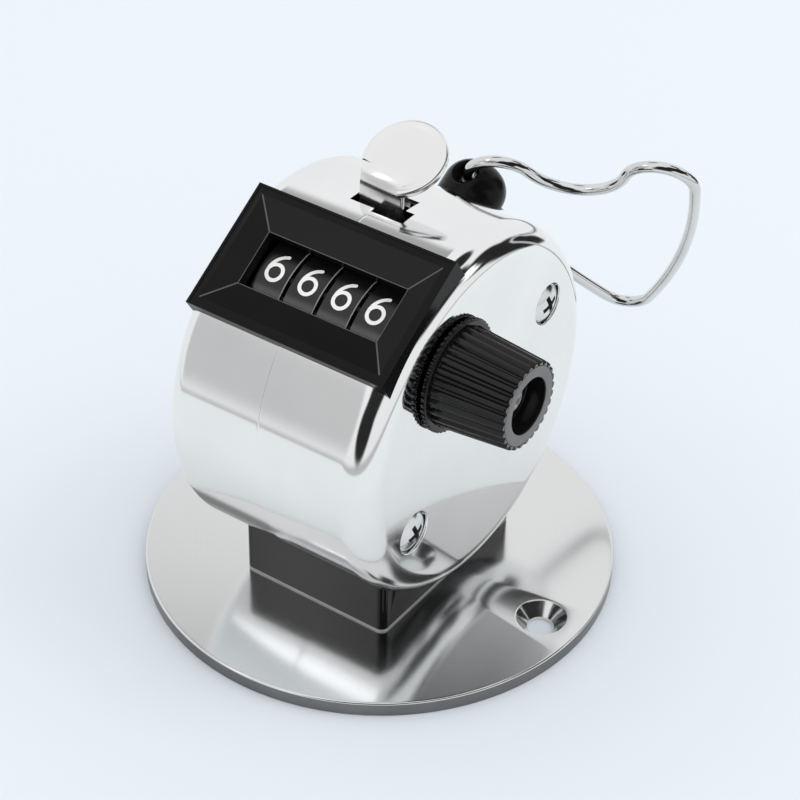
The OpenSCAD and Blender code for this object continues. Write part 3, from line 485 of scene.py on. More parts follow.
# dark finish for faces down in a screw's cross: painted shade
slotPaintedShade = finish("slotShade", grey(0.02), grey(0.05), (0.4, 0.5), (900, 6000))
# pale finish for the pedestal's foot line: a painted highlight
pedestalFootHighlight = finish("pedestalFootHighlight", grey(0.30), grey(0.42), (0.35, 0.45), (300, 5000))
gearWhite = finish("gearPlastic", (0.74, 0.73, 0.70), (0.82, 0.81, 0.78), (0.42, 0.52), (200, 4000), 0.1)
print("finishes built")


# base plate

base = dict(
    bottomRound=0.15, rimRound=0.24, flatBelow=0.3, flatAbove=0.12, holeSpacing=49.4, holeDiameter=3.4,
    sinkDiameter=6.4, sinkEdge=0.05, sinkLip=0.12, sinkRise=0.004, screwX=6.0, screwHead=5.66,
    screwShank=3.06, screwReach=20, steps=288, smooth=20)


def makeBase():
    low, high = nodeBox("base_plate")
    radius, top = (high.x - low.x) / 2, high.z
    rim, foot, footSteps = base["rimRound"], base["bottomRound"], 4
    profile = [(0, 0), (radius - foot - base["flatBelow"], 0)]
    # the sides below the rounded rim are painted darker: painted shade
    sides = range(len(profile), len(profile) + footSteps + 1)
    profile += arc(radius - foot, foot, foot, -90, 0, footSteps)
    profile += arc(radius - rim, top - rim, rim, 0, 90, 8)
    profile += [(radius - rim - base["flatAbove"], top), (0, top)]
    obj = turned("basePlate", profile, (0, 0, 0), zAxis, base["steps"], dict.fromkeys(sides, 1))
    addFinishes(obj, [baseSteel, baseSideShade])
    holeR, sinkR = base["holeDiameter"] / 2, base["sinkDiameter"] / 2
    edge, lip = base["sinkEdge"], base["sinkLip"]
    sink = [(0, -past), (holeR, -past), (holeR, top - (sinkR - holeR)), (sinkR - edge, top - edge),
            (sinkR + lip * 0.4, top - lip * 0.05), (sinkR + lip, top + base["sinkRise"]),
            (sinkR + lip, top + past), (0, top + past)]
    headR, shankR = base["screwHead"] / 2, base["screwShank"] / 2
    seat = [(0, -past), (headR, -past), (headR, 0), (shankR, headR - shankR), (shankR, top + past),
            (0, top + past)]
    tools = []
    for side in (-1, 1):
        tools.append(turned("sink", sink, (side * base["holeSpacing"] / 2, 0, 0), zAxis, 64))
        tools.append(turned("seat", seat, (side * base["screwX"], 0, 0), zAxis, 48))
    carve(obj, tools)
    shade(obj, base["smooth"])
    handOver(obj, "case", [baseSteel, baseSideShade], ["base_plate"])


makeBase()


# drum shells

drum = dict(
    edgeRadius=3.7, leftEdge=2.4, wall=0.6, seam=-1.0, lap=2.0, seamRound=0.1, seamFlat=0.15,
    edgeFlat=0.2, screwY=13.8, screwZ=8.7, recess=5.4, recessDepth=0.9, recessRound=0.2, recessLip=0.15,
    boss=7.2, bossDepth=1.2, bossSink=0.3, screwBore=2.12, boreLap=0.1, pillarBore=2.06, shaftHole=4.2,
    openingWidth=26.2, openingHeight=15.1, slotMouth=(-1.0, -1.3, 3.6, 1.2),
    slotNeck=(-4.55, -0.4, 2.35, 4.0), clear=0.03, steps=288, smooth=14)


def drumTurned(name, profile, sign=1):
    return turned(name, [(a, sign * b) for a, b in profile], drumCentre, xAxis, drum["steps"])


def drumSolids():
    # the two halves of the case with a little room, for saddles that rest on it
    grow, seam = drum["clear"], drum["seam"]
    end = halfWidth + grow
    solids = []
    for sign, radius, edge in ((1, drumRadius, drum["edgeRadius"]), (-1, leftRadius, drum["leftEdge"])):
        r, bend = radius + grow, edge + grow
        profile = [(0, sign * seam), (r, sign * seam)]
        profile += arc(r - bend, end - bend, bend, 0, 90, 24) + [(0, end)]
        solids.append(drumTurned("cut", profile, sign))
    return solids


def screwHoles():
    shankR, reach = base["screwShank"] / 2, base["screwReach"]
    return [rod("hole", shankR, 0, reach, (side * base["screwX"], 0, 0), zAxis) for side in (-1, 1)]


def shellProfile(radius, start, edge):
    wall, lip, end, flat = drum["wall"], drum["seamRound"], halfWidth, drum["edgeFlat"]
    profile = arc(radius - lip, start + lip, lip, -90, 0, 5)
    profile += [(radius, start + lip + drum["seamFlat"]), (radius, end - edge - flat)]
    profile += arc(radius - edge, end - edge, edge, 0, 90, 28)
    profile += [(radius - edge - flat, end), (0, end), (0, end - wall), (radius - edge, end - wall)]
    profile += arc(radius - edge, end - edge, edge - wall, 90, 0, 10)[1:]
    return profile


def openingTools():
    wide, tall = drum["openingWidth"] / 2, drum["openingHeight"] / 2
    tools = [windowBlock("opening", wide, tall, cutFrom, cutTo)]
    for x0, y0, x1, y1 in (drum["slotMouth"], drum["slotNeck"]):
        tools.append(block("slot", (x0, y0, drumCentre.z + cutFrom), (x1, y1, drumCentre.z + cutTo)))
    return tools + screwHoles()


def pillarPlaces():
    offset = Vector((0, drum["screwY"], drum["screwZ"]))
    return [drumCentre + offset, drumCentre - offset]


def makeRightShell():
    profile = shellProfile(drumRadius, drum["seam"], drum["edgeRadius"])
    profile.append((drumRadius - drum["wall"], drum["seam"]))
    obj = drumTurned("rightShell", profile)
    bossR, inner = drum["boss"] / 2, halfWidth - drum["wall"] - drum["bossDepth"]
    outer = halfWidth - drum["bossSink"]
    carve(obj, [rod("boss", bossR, inner, outer, place, steps=64) for place in pillarPlaces()], "UNION")
    tools = openingTools()
    r, floor = drum["recess"] / 2, halfWidth - drum["recessDepth"]
    lip, bend = drum["recessLip"], drum["recessRound"]
    well = [(0, floor)] + arc(r - bend, floor + bend, bend, -90, 0, 5)
    well += arc(r + lip, halfWidth - lip, lip, 180, 92, 8)
    well += [(r + lip, halfWidth + past), (0, halfWidth + past)]
    for place in pillarPlaces():
        tools.append(turned("well", well, place, xAxis, 72))
        tools.append(rod("bore", drum["screwBore"] / 2, inner - past, floor + drum["boreLap"], place))
    shaftR = drum["shaftHole"] / 2
    tools.append(rod("shaft", shaftR, halfWidth - 2 * past, halfWidth + past, wheelCentre, steps=64))
    carve(obj, tools)
    shade(obj, drum["smooth"])
    handOver(obj, "case", [chrome], ["right_shell"])


holder = dict(
    elevation=30.0, x=-1.5, shift=4.6, drop=1.5, rivet=1.66, rivetOffset=2.4, weld=0.002, smooth=28)
holderPlace = Matrix.Translation(drumCentre) @ Matrix.Rotation(radians(holder["elevation"] - 90), 4, "X")


def makeLeftShell():
    # a body level with the right shell, and a skirt that slides into it
    skirt, wall = drumRadius - drum["wall"] - drum["clear"], drum["wall"]
    shoulder, skirtEnd = drum["clear"] - drum["seam"], -(drum["seam"] + drum["lap"])
    profile = [(skirt - wall, skirtEnd), (skirt, skirtEnd), (skirt, shoulder)]
    profile += shellProfile(leftRadius, shoulder, drum["leftEdge"])
    profile += [(leftRadius - wall, wall - drum["seam"]), (skirt - wall, wall - drum["seam"])]
    obj = drumTurned("leftShell", profile, -1)
    tools = openingTools()
    boreR, end = drum["pillarBore"] / 2, -halfWidth
    for place in pillarPlaces():
        tools.append(rod("bore", boreR, end - past, end + past, place, steps=40))
    rivet = holderPlace @ Vector((holder["x"] - holder["rivetOffset"], holder["drop"] - holder["shift"], 0))
    outward = holderPlace.to_3x3() @ zAxis
    tools.append(rod("rivet", holder["rivet"] / 2, cutFrom, drumRadius + 2 * past, rivet, outward))
    carve(obj, tools)
    shade(obj, drum["smooth"])
    handOver(obj, "case", [chrome], ["left_shell"])


makeRightShell()
makeLeftShell()


# pedestal

pedestal = dict(
    width=21.4, depth=28.2, corner=1.0, underAxis=4, edgeRound=0.14, roundAngle=30, footLine=0.3,
    footEdge=0.005, smooth=35)


def makePedestal():
    low = nodeBox("pedestal")[0].z
    w, d, r = pedestal["width"] / 2, pedestal["depth"] / 2, pedestal["corner"]
    outline = []
    for cx, cy, start in ((w - r, d - r, 0), (r - w, d - r, 90), (r - w, r - d, 180), (w - r, r - d, 270)):
        outline += arc(cx, cy, r, start, start + 90, 10)
    obj = prism("pedestalSaddle", outline, low, drumCentre.z - pedestal["underAxis"], "Z")
    carve(obj, drumSolids() + screwHoles())
    softenEdges(obj, pedestal["edgeRound"], pedestal["roundAngle"])
    # a thin pale line of painted highlight runs round the foot
    bm = bmesh.new()
    bm.from_mesh(obj.data)
    line = low + pedestal["footLine"]
    geometry = bm.verts[:] + bm.edges[:] + bm.faces[:]
    bmesh.ops.bisect_plane(bm, geom=geometry, plane_co=(0, 0, line), plane_no=zAxis)
    bm.to_mesh(obj.data)
    bm.free()
    for polygon in obj.data.polygons:
        if low + pedestal["footEdge"] < polygon.center.z < line:
            polygon.material_index = 1
    shade(obj, pedestal["smooth"])
    handOver(obj, "case", [blackSatin, pedestalFootHighlight], ["pedestal"])


makePedestal()


# window bezel

bezel = dict(
    width=28.0, height=16.9, rise=0.1, rim=0.8, windowWidth=19.7, windowHeight=7.1, depth=1.0,
    spigotDepth=1.5, spigotDrop=0.1, overrun=1.2, edgeRound=0.1, roundAngle=10, crease=0.09,
    creaseAngle=5, lip=0.32, lipDrop=0.1, smooth=6)


def makeBezel():
    wide, tall = bezel["width"] / 2, bezel["height"] / 2
    rim = drumRadius + bezel["rise"]
    sill = rim - bezel["depth"]
    openWide, openTall = bezel["windowWidth"] / 2, bezel["windowHeight"] / 2
    low = drumRadius - 2 * drum["edgeRadius"]
    obj = windowBlock("windowBezel", wide, tall, low, rim)
    carve(obj, drumSolids())
    plugWide, plugTall = drum["openingWidth"] / 2 - drum["clear"], drum["openingHeight"] / 2 - drum["clear"]
    plugLow, plugHigh = sill - bezel["spigotDepth"], rim - bezel["spigotDrop"]
    carve(obj, [windowBlock("spigot", plugWide, plugTall, plugLow, plugHigh)], "UNION")
    # the funnel's slopes run on past the rim
    run = bezel["overrun"]
    mouthWide = openWide + (wide - openWide - bezel["rim"]) * run
    mouthTall = openTall + (tall - openTall - bezel["rim"]) * run
    mouth = (sill + bezel["depth"] * run, mouthWide, mouthTall)
    funnel = taperedBlock("funnel", (sill, openWide, openTall), mouth, windowPlace)
    # its rounded creases are painted paler than its faces: a painted highlight
    for item in (obj, funnel):
        setFinishes(item, [blackGloss, bezelCreaseHighlight])
    softenEdges(funnel, bezel["crease"], bezel["creaseAngle"], 1)
    lip = bezel["lip"]
    step = windowBlock("step", wide - lip, tall - lip, rim - bezel["lipDrop"], rim + past)
    window = windowBlock("window", openWide, openTall, cutFrom, cutTo)
    carve(obj, [step, window, funnel])
    softenEdges(obj, bezel["edgeRound"], bezel["roundAngle"])
    shade(obj, bezel["smooth"])
    weight = obj.modifiers.new("weigh", "WEIGHTED_NORMAL")
    weight.keep_sharp = True
    bake(obj)
    handOver(obj, "case", [blackGloss, bezelCreaseHighlight], ["window_bezel"])


makeBezel()


# number wheels and their digits

wheel = dict(rim=1.2, web=1.2, hub=6.4, bore=3.1, chamfer=0.1, steps=160, smooth=20)
digit = dict(
    width=2.5, height=3.95, boxWidth=2.32, boxHeight=3.62, stroke=0.43, mitre=1.5, capSteps=5, capTurn=16,
    proud=0.012, sunk=0.03, shown=6, turn=36, spacing=0.16, up=0.8, smooth=30)


def loop(cx, cy, rx, ry, steps=36):
    return (ellipse(cx, cy, rx, ry, 0, 360, steps)[:-1], True)


def digitStrokes(number):
    # centre lines in a box of half width 0.94 and half height 1.59: (points, closed)
    six = [loop(0, -0.64, 0.94, 0.95), (ellipse(0.85, -0.5, 1.79, 2.1, 102, 178), False)]
    fiveBowl = ellipse(-0.02, -0.6, 0.95, 0.99, 128, -150)
    strokes = {
        0: [loop(0, 0, 0.94, 1.59, 44)],
        1: [([(-0.6, 0.92), (0.1, 1.59), (0.1, -1.59)], False)],
        2: [(ellipse(0, 0.65, 0.92, 0.94, 168, -32) + [(-0.94, -1.59), (0.94, -1.59)], False)],
        3: [(ellipse(0, 0.8, 0.8, 0.79, 155, -90), False), (ellipse(0, -0.76, 0.94, 0.83, 90, -155), False)],
        4: [([(0.42, -1.59), (0.42, 1.59), (-0.98, -0.68), (0.98, -0.68)], False)],
        5: [([(0.78, 1.59), (-0.62, 1.59), (-0.78, 0.1)] + fiveBowl, False)],
        6: six,
        7: [([(-0.94, 1.59), (0.94, 1.59), (-0.32, -1.59)], False)],
        8: [loop(0, 0.82, 0.76, 0.77), loop(0, -0.76, 0.94, 0.83)],
        9: [([(-x, -y) for x, y in points], closed) for points, closed in six],
    }
    return strokes[number]


def evenRun(points, closed):
    run = []
    following = points[1:] + points[:1] if closed else points[1:]
    for (ax, ay), (bx, by) in zip(points, following):
        steps = max(1, ceil(hypot(bx - ax, by - ay) / digit["spacing"]))
        run += [(ax + (bx - ax) * i / steps, ay + (by - ay) * i / steps) for i in range(steps)]
    return run if closed else run + [points[-1]]


def strokeRows(points, closed, half):
    # left and right edge of a stroke along its centre line, with rounded ends
    centre = [Vector(p) for p in points]
    ahead = [(b - a).normalized() for a, b in zip(centre, centre[1:] + centre[:1])]
    if not closed:
        ahead[-1] = ahead[-2]
    rows = []
    for i, point in enumerate(centre):
        before = ahead[i - 1] if closed or i else ahead[0]
        direction = (before + ahead[i]).normalized()
        reach = min(digit["mitre"], 1 / sqrt(max(tiny, (1 + before.dot(ahead[i])) / 2)))
        across = Vector((-direction.y, direction.x)) * half * reach
        rows.append((point + across, point - across))
    if closed:
        return rows
    for atStart in (True, False):
        end, near = (centre[0], centre[1]) if atStart else (centre[-1], centre[-2])
        out = (end - near).normalized()
        across = Vector((-out.y, out.x)) * (-1 if atStart else 1)
        cap = []
        for k in range(1, digit["capSteps"] + 1):
            a = radians(k * digit["capTurn"])
            tip = end + out * half * sin(a)
            cap.append((tip + across * half * cos(a), tip - across * half * cos(a)))
        rows = cap[::-1] + rows if atStart else rows + cap
    return rows


def addStroke(bm, rows, closed, wrap):
    top, bottom = digit["proud"], -digit["sunk"]
    rings = []
    for left, right in rows:
        corners = ((left, top), (right, top), (right, bottom), (left, bottom))
        rings.append([bm.verts.new(wrap(p.x, p.y, level)) for p, level in corners])
    bridge(bm, rings, closed)


def makeWheel(place):
    node = "number_wheel_" + place
    body = place + "_wheel"
    low, high = nodeBox(node)
    radius = (high.z - low.z) / 2
    x0, x1, c = low.x, high.x, wheel["chamfer"]
    inner, hub, bore = radius - wheel["rim"], wheel["hub"] / 2, wheel["bore"] / 2
    web = x1 - wheel["web"]
    profile = [(bore, x0), (hub, x0), (hub, web), (inner, web), (inner, x0), (radius - c, x0),
               (radius, x0 + c), (radius, x1 - c), (radius - c, x1), (bore, x1)]
    # the chamfer at the wheel's right edge gets a painted highlight
    paintedHighlightEdge = profile.index((radius, x1 - c))
    obj = turned(place + "Wheel", profile, wheelCentre, xAxis, wheel["steps"], {paintedHighlightEdge: 1})
    shade(obj, wheel["smooth"])
    handOver(obj, body, [wheelBlack, wheelEdgeHighlight], [node])
    bm = bmesh.new()
    middle = (x0 + x1) / 2
    scaleX, scaleY = digit["width"] / digit["boxWidth"], digit["height"] / digit["boxHeight"]
    for number in range(10):
        turn = 180 - windowElevation - digit["turn"] * (number - digit["shown"])
        angle = radians(turn) - digit["up"] / radius

        def wrap(px, py, level):
            a = angle - py * scaleY / radius
            r = radius + level
            return (middle + px * scaleX, wheelCentre.y + r * cos(a), wheelCentre.z + r * sin(a))

        for points, closed in digitStrokes(number):
            addStroke(bm, strokeRows(evenRun(points, closed), closed, digit["stroke"] / 2), closed, wrap)
    digits = meshObject(place + "Digits", bm)
    shade(digits, digit["smooth"])
    handOver(digits, body, [digitWhite])


wheelPlaces = ("units", "tens", "hundreds", "thousands")
for place in wheelPlaces:
    makeWheel(place)


# screws

caseScrew = dict(
    head=5.0, height=1.3, shank=2.0, seat=0.9, thread=5.0, slotWidth=0.75, slotLength=3.0, slotDepth=0.85,
    edgeRound=0.06)
knobScrew = dict(
    head=3.6, height=1.1, shank=1.6, slotWidth=0.6, slotLength=2.4, slotDepth=0.6, edgeRound=0.05)
screwForm = dict(
    tailChamfer=0.2, headChamfer=0.1, sideShare=0.35, domeShare=0.6, slotTurn=20, floorLength=0.7,
    mouthLength=1.08, floorWidth=0.8, mouthRise=0.5, darkReach=1.1, darkDepth=0.12, roundAngle=40,
    smooth=30)


def screwMesh(name, size, seat, tail, centre):
    # pan head with a cross slot, axis along X
    r, h, shank = size["head"] / 2, size["height"], size["shank"] / 2
    thin, edge, dome = screwForm["tailChamfer"], screwForm["headChamfer"], h * screwForm["domeShare"]
    profile = [(0, tail), (shank - thin, tail), (shank, tail + thin), (shank, seat), (r - edge, seat),
               (r, seat + edge), (r, seat + h * screwForm["sideShare"])]
    domeR = (r * r + dome ** 2) / (2 * dome)
    reach = degrees(asin(r / domeR))
    profile += arc(0, seat + h - domeR, domeR, 90 - reach, 90, 10)
    profile[-1] = (0, seat + h)
    obj = turned(name, profile, centre, xAxis, 64)
    w, half = size["slotWidth"] / 2, size["slotLength"] / 2
    floor = (seat + h - size["slotDepth"], w * screwForm["floorWidth"], half * screwForm["floorLength"])
    mouth = (seat + h + screwForm["mouthRise"], w, half * screwForm["mouthLength"])
    tools = []
    for a in (0, 90):
        turn = Matrix.Rotation(radians(a + screwForm["slotTurn"]), 4, "X") @ zToX
        tools.append(taperedBlock("slot", floor, mouth, Matrix.Translation(centre) @ turn))
    carve(obj, tools)
    softenEdges(obj, size["edgeRound"], screwForm["roundAngle"])
    # faces down in the cross are painted dark: painted shade in the recess
    for polygon in obj.data.polygons:
        off = polygon.center - centre
        reach = hypot(off.y, off.z)
        crown = seat + h - domeR + sqrt(max(domeR ** 2 - reach ** 2, 0))
        if reach < half * screwForm["darkReach"] and seat < off.x < crown - screwForm["darkDepth"]:
            polygon.material_index = 1
    shade(obj, screwForm["smooth"])
    return obj


def makeScrews():
    seat = halfWidth - caseScrew["seat"]
    tail = halfWidth - drum["wall"] - drum["bossDepth"] - caseScrew["thread"]
    obj = screwMesh("caseScrews", caseScrew, seat, tail, Vector((0, drum["screwY"], drum["screwZ"])))
    chosen = [polygon.material_index for polygon in obj.data.polygons]
    applyTree(obj, roundTree, {"Count": 2, "Centre": drumCentre, "Finish": zinc})
    obj.data.polygons.foreach_set("material_index", chosen * 2)
    handOver(obj, "case", [zinc, slotPaintedShade], ["case_screws"])
    low, high = nodeBox("knob_screw")
    obj = screwMesh("knobScrew", knobScrew, high.x - knobScrew["height"], low.x, wheelCentre)
    handOver(obj, "reset", [satinZinc, slotPaintedShade], ["knob_screw"])


makeScrews()


# reset knob

knob = dict(
    flange=14.2, flangeThick=0.7, root=12.6, tip=11.0, ribs=28, ribRise=0.42, ribFoot=0.52, ribCrest=0.27,
    ribSink=0.5, hollow=7.0, hollowDepth=2.6, shaft=3.06, floor=1.2, screwHole=1.72, flangeRound=0.16,
    rootRound=0.3, endRound=0.25, mouthRound=0.15, floorRound=0.2, steps=168, knurls=52, knurlRise=0.16,
    knurlHalf=0.3, knurlSink=0.3, knurlGap=0.1, smooth=28)


def knobProfile(x0, x1, x2):
    # outline from the shaft's hole round the outside to the hollow end, and the index of the end's rim
    flange, rise = knob["flange"] / 2 - knob["knurlRise"], knob["ribRise"]
    rootR, tipR = knob["root"] / 2 - rise, knob["tip"] / 2 - rise
    shaft, hole, hollow = knob["shaft"] / 2, knob["screwHole"] / 2, knob["hollow"] / 2
    well = x2 - knob["hollowDepth"]
    shoulder = well - knob["floor"]
    brim, root, edge = knob["flangeRound"], knob["rootRound"], knob["endRound"]
    mouth, floor = knob["mouthRound"], knob["floorRound"]
    profile = [(hole, shoulder), (shaft, shoulder), (shaft, x0)]
    profile += arc(flange - brim, x0 + brim, brim, -90, 0, 5) + arc(flange - brim, x1 - brim, brim, 0, 90, 5)
    profile += arc(rootR + root, x1 + root, root, 270, 180, 4)
    profile += arc(tipR - edge, x2 - edge, edge, 0, 90, 5)
    rim = len(profile) - 1
    profile += arc(hollow + mouth, x2 - mouth, mouth, 90, 180, 4)
    profile += arc(hollow - floor, well + floor, floor, 0, -90, 4) + [(hole, well)]
    return profile, rim


def ribMesh(x1, x2):
    # one rib along the taper, repeated by the node tree
    foot, crest, rise = knob["ribFoot"], knob["ribCrest"], knob["ribRise"]
    rootR, tipR = knob["root"] / 2, knob["tip"] / 2
    section = mirrored([(foot, -knob["ribSink"]), (foot, -rise), (crest + 0.06, -0.14),
                        (crest - 0.06, -0.02), (crest - 0.16, 0)])
    # place along the knob, drop of the crest and share of the width
    stations = ((x1 + 0.02, 0, 1), (x2 - 0.3, 0, 0.9), (x2 - 0.1, 0.06, 0.86), (x2 - 0.02, 0.2, 0.8))
    bm = bmesh.new()
    rows = []
    for along, drop, narrow in stations:
        top = rootR + (tipR - rootR) * (along - x1) / (x2 - x1)
        points = [(along, y * narrow, top + z - (drop if z > -rise else 0)) for y, z in section]
        rows.append([bm.verts.new(p) for p in points])
    bridge(bm, rows)
    return meshObject("ribs", bm)


def knurlMesh(x0, x1):
    # one fine knurl on the flange's edge
    flange, wide, tall = knob["flange"] / 2 - knob["knurlRise"], knob["knurlHalf"], knob["knurlRise"]
    bump = mirrored([(wide, flange - knob["knurlSink"]), (wide, flange), (wide * 0.6, flange + tall * 0.7),
                     (wide * 0.2, flange + tall)])
    return prism("knurls", bump, x0 + knob["knurlGap"], x1 - knob["flangeRound"])


def makeKnob():
    low, high = nodeBox("reset_knob")
    x0, x2 = low.x, high.x
    x1 = x0 + knob["flangeThick"]
    profile, rim = knobProfile(x0, x1, x2)
    obj = turned("resetKnob", profile, wheelCentre, xAxis, knob["steps"], {rim: 1})
    addFinishes(obj, [knobBlack, knobGrey])
    ribs, knurls = ribMesh(x1, x2), knurlMesh(x0, x1)
    for item, count in ((ribs, knob["ribs"]), (knurls, knob["knurls"])):
        applyTree(item, roundTree, {"Count": count, "Centre": wheelCentre, "Finish": knobBlack})
    carve(obj, [ribs, knurls], "UNION")
    # the ribs' ends are as grey as the face between them
    for polygon in obj.data.polygons:
        if polygon.normal.x > 0.9 and polygon.center.x > x2 - knob["endRound"]:
            polygon.material_index = 1
    shade(obj, knob["smooth"])
    handOver(obj, "reset", [knobBlack, knobGrey], ["reset_knob"])


makeKnob()


# thumb lever

lever = dict(
    padX=0.2, padY=4.0, padRise=4.85, padSlope=61.5, padRadius=5.2, padSteps=160, rim=0.3, rimFlat=0.05,
    lip=0.04, dish=0.14, dishRun=1.0, dishSteps=10, thick=1.0, neckWidth=5.9, neckX=-0.8, neckY=0.75,
    neckFrom=-0.2, neckTo=3, bend=2.2, overlap=2.4, edgeGap=0.05, flush=0.02, stripRound=0.1,
    roundAngle=60, trim=8, trimFront=10, hub=4.0, pin=2.1, arm=0.4, pawlEye=2.2, pawlHole=1.06, smooth=32)
padCentre = Vector((lever["padX"], lever["padY"], drumCentre.z + drumRadius + lever["padRise"]))
padLean = radians(90 - lever["padSlope"])
padSteel = metalFinish("padSteel", grey(0.78), grey(0.86), (0.16, 0.24), None, 0.06,
                       (padCentre * mm, (padLean, 0, 0)))


def stripOutline(path, half):
    left, right = [], []
    for i, p in enumerate(path):
        a, b = Vector(path[max(i - 1, 0)]), Vector(path[min(i + 1, len(path) - 1)])
        d = (b - a).normalized()
        across = Vector((-d.y, d.x)) * half
        left.append(tuple(Vector(p) + across))
        right.append(tuple(Vector(p) - across))
    return left + right[::-1]


def linkOutline(p, q, half):
    angle = degrees(atan2(q[1] - p[1], q[0] - p[0]))
    near = arc(p[0], p[1], half, angle + 90, angle + 270, 16)
    return near + arc(q[0], q[1], half, angle - 90, angle + 90, 16)


def padMesh(normal):
    # round pad with a rolled rim and a shallow dish
    r, half = lever["padRadius"], lever["thick"] / 2
    rim, lip, dish = lever["rim"], lever["lip"], lever["dish"]
    profile = [(0, -half)] + arc(r - rim, rim - half, rim, -90, 0, 6)
    profile += arc(r - rim, half - rim + lip, rim, 0, 90, 8)
    for i in range(1, lever["dishSteps"] + 1):
        share = i / lever["dishSteps"]
        fall = (dish + lip) * (0.5 - 0.5 * cos(pi * share))
        profile.append((r - rim - lever["rimFlat"] - lever["dishRun"] * share, half + lip - fall))
    profile.append((0, half - dish))
    return turned("thumbLever", profile, padCentre, normal, lever["padSteps"])


def makeLever():
    normal = Vector((0, -sin(padLean), cos(padLean)))
    slope = Vector((0, cos(padLean), sin(padLean)))
    r, dish, trim = lever["padRadius"], lever["dish"], lever["trim"]
    obj = padMesh(normal)
    # the sheet bends down at the pad's lower edge and runs into the case
    neck, bend = lever["neckY"], lever["bend"]
    middle = padCentre - normal * dish / 2
    corner = Vector((neck, middle.z + (neck - middle.y) / slope.y * slope.z))
    lean = acos(slope.z)
    tangent = bend * tan(lean / 2)
    path = [(neck, leverCentre.z + lever["neckFrom"]), (neck, leverCentre.z + lever["neckTo"])]
    path += arc(corner.x + bend, corner.y - tangent, bend, 180, 180 - degrees(lean), 14)
    path.append((corner.x + slope.y * lever["overlap"], corner.y + slope.z * lever["overlap"]))
    x0, x1 = lever["neckX"] - lever["neckWidth"] / 2, lever["neckX"] + lever["neckWidth"] / 2
    low = (padCentre.x - trim, neck - lever["trimFront"], padCentre.z - trim)
    high = (x1 - lever["edgeGap"], neck + tangent * slope.y, padCentre.z + trim)
    carve(obj, [block("front", low, high)])
    strip = prism("strip", stripOutline(path, (lever["thick"] - dish) / 2), x0, x1)
    # its left edge runs out into the round of the pad
    along = (path[-1][0] - padCentre.y) / slope.y
    for i in range(len(path) - 1, 0, -1):
        left = padCentre.x + lever["flush"] - sqrt(max(r * r - along * along, 0))
        for k in (i, 2 * len(path) - 1 - i):
            strip.data.vertices[k].co.x = min(x0, left)
        along -= dist(path[i], path[i - 1])
    softenEdges(strip, lever["stripRound"], lever["roundAngle"])
    low, high = nodeBox("thumb_lever")
    start, stop = low.x, high.x
    pawl = sum(nodeBox("pawl_pin"), Vector()) / 2
    hub = rod("hub", lever["hub"] / 2, start, stop, leverCentre, steps=64)
    link = linkOutline(leverCentre.yz, pawl.yz, lever["pawlEye"] / 2)
    carve(obj, [strip, hub, prism("arm", link, stop - lever["arm"], stop)], "UNION")
    pin = rod("pin", lever["pin"] / 2, start - past, stop + past, leverCentre, steps=48)
    hole = rod("hole", lever["pawlHole"] / 2, start - past, stop + past, Vector((0, *pawl.yz)))
    carve(obj, [pin, hole])
    shade(obj, lever["smooth"])
    handOver(obj, "lever", [padSteel], ["thumb_lever"])


makeLever()


# ring holder and wire ring

ring = dict(
    wire=1.45, halfWidth=14.2, shoulder=4.3, notchDrop=1.7, depth=28.4, tip=3.5, flank=70.0, swing=19.5,
    points=420, sides=28)


def ringPath():
    # heart outline in its own plane: across, up
    s, drop, tip, flank = ring["shoulder"], ring["notchDrop"], ring["tip"], ring["flank"]
    u = ring["halfWidth"] - s
    notch = (u * u + drop * drop - s * s) / (2 * (s + drop))
    notchAngle = degrees(atan2(notch - drop, u))
    tipV = -drop - ring["depth"] + tip
    span = hypot(u, tipV)
    a, b = flank - s, flank - tip
    along = (span * span + a * a - b * b) / (2 * span)
    across = sqrt(a * a - along * along)
    dx, dy = -u / span, tipV / span
    cx, cy = u + along * dx + across * dy, along * dy - across * dx
    begin = degrees(atan2(-cy, u - cx))
    stop = degrees(atan2(tipV - cy, -cx))
    half = arc(0, notch - drop, notch, -90, -notchAngle, 24)[:-1]
    half += arc(u, 0, s, 180 - notchAngle, begin, 56)[:-1]
    half += arc(cx, cy, flank, begin, stop, 40)[:-1]
    half += arc(0, tipV, tip, stop, -90, 24)
    return half + [(-x, y) for x, y in half[-2:0:-1]]


def makeRing():
    pivotLevel = (holderPlace.inverted() @ ringPivot).z
    place = holderPlace @ Matrix.Translation((holder["x"], -holder["shift"], pivotLevel))
    place = place @ Matrix.Rotation(radians(-ring["swing"]), 4, "Y") @ Matrix.Rotation(pi, 4, "X")
    place = place @ Matrix.Translation((ring["halfWidth"], 0, 0))
    bm = bmesh.new()
    verts = [bm.verts.new(place @ Vector((x, y, 0))) for x, y in ringPath()]
    for i, v in enumerate(verts):
        bm.edges.new((v, verts[(i + 1) % len(verts)]))
    obj = meshObject("wireRing", bm)
    applyTree(obj, wireTree, {"Radius": ring["wire"] / 2, "Points": ring["points"], "Sides": ring["sides"],
                              "Finish": ringChrome})
    handOver(obj, "ring", [ringChrome], ["wire_ring"])


def makeHolder():
    mesh = nodes["ring_holder"].data.copy()
    mesh.transform(Matrix.Scale(1 / mm, 4))
    bm = bmesh.new()
    bm.from_mesh(mesh)
    bmesh.ops.remove_doubles(bm, verts=bm.verts, dist=holder["weld"])
    obj = meshObject("ringHolder", bm)
    shade(obj, holder["smooth"])
    handOver(obj, "case", [blackGloss], ["ring_holder"])


makeRing()
makeHolder()


# CAD pieces that stay as they are

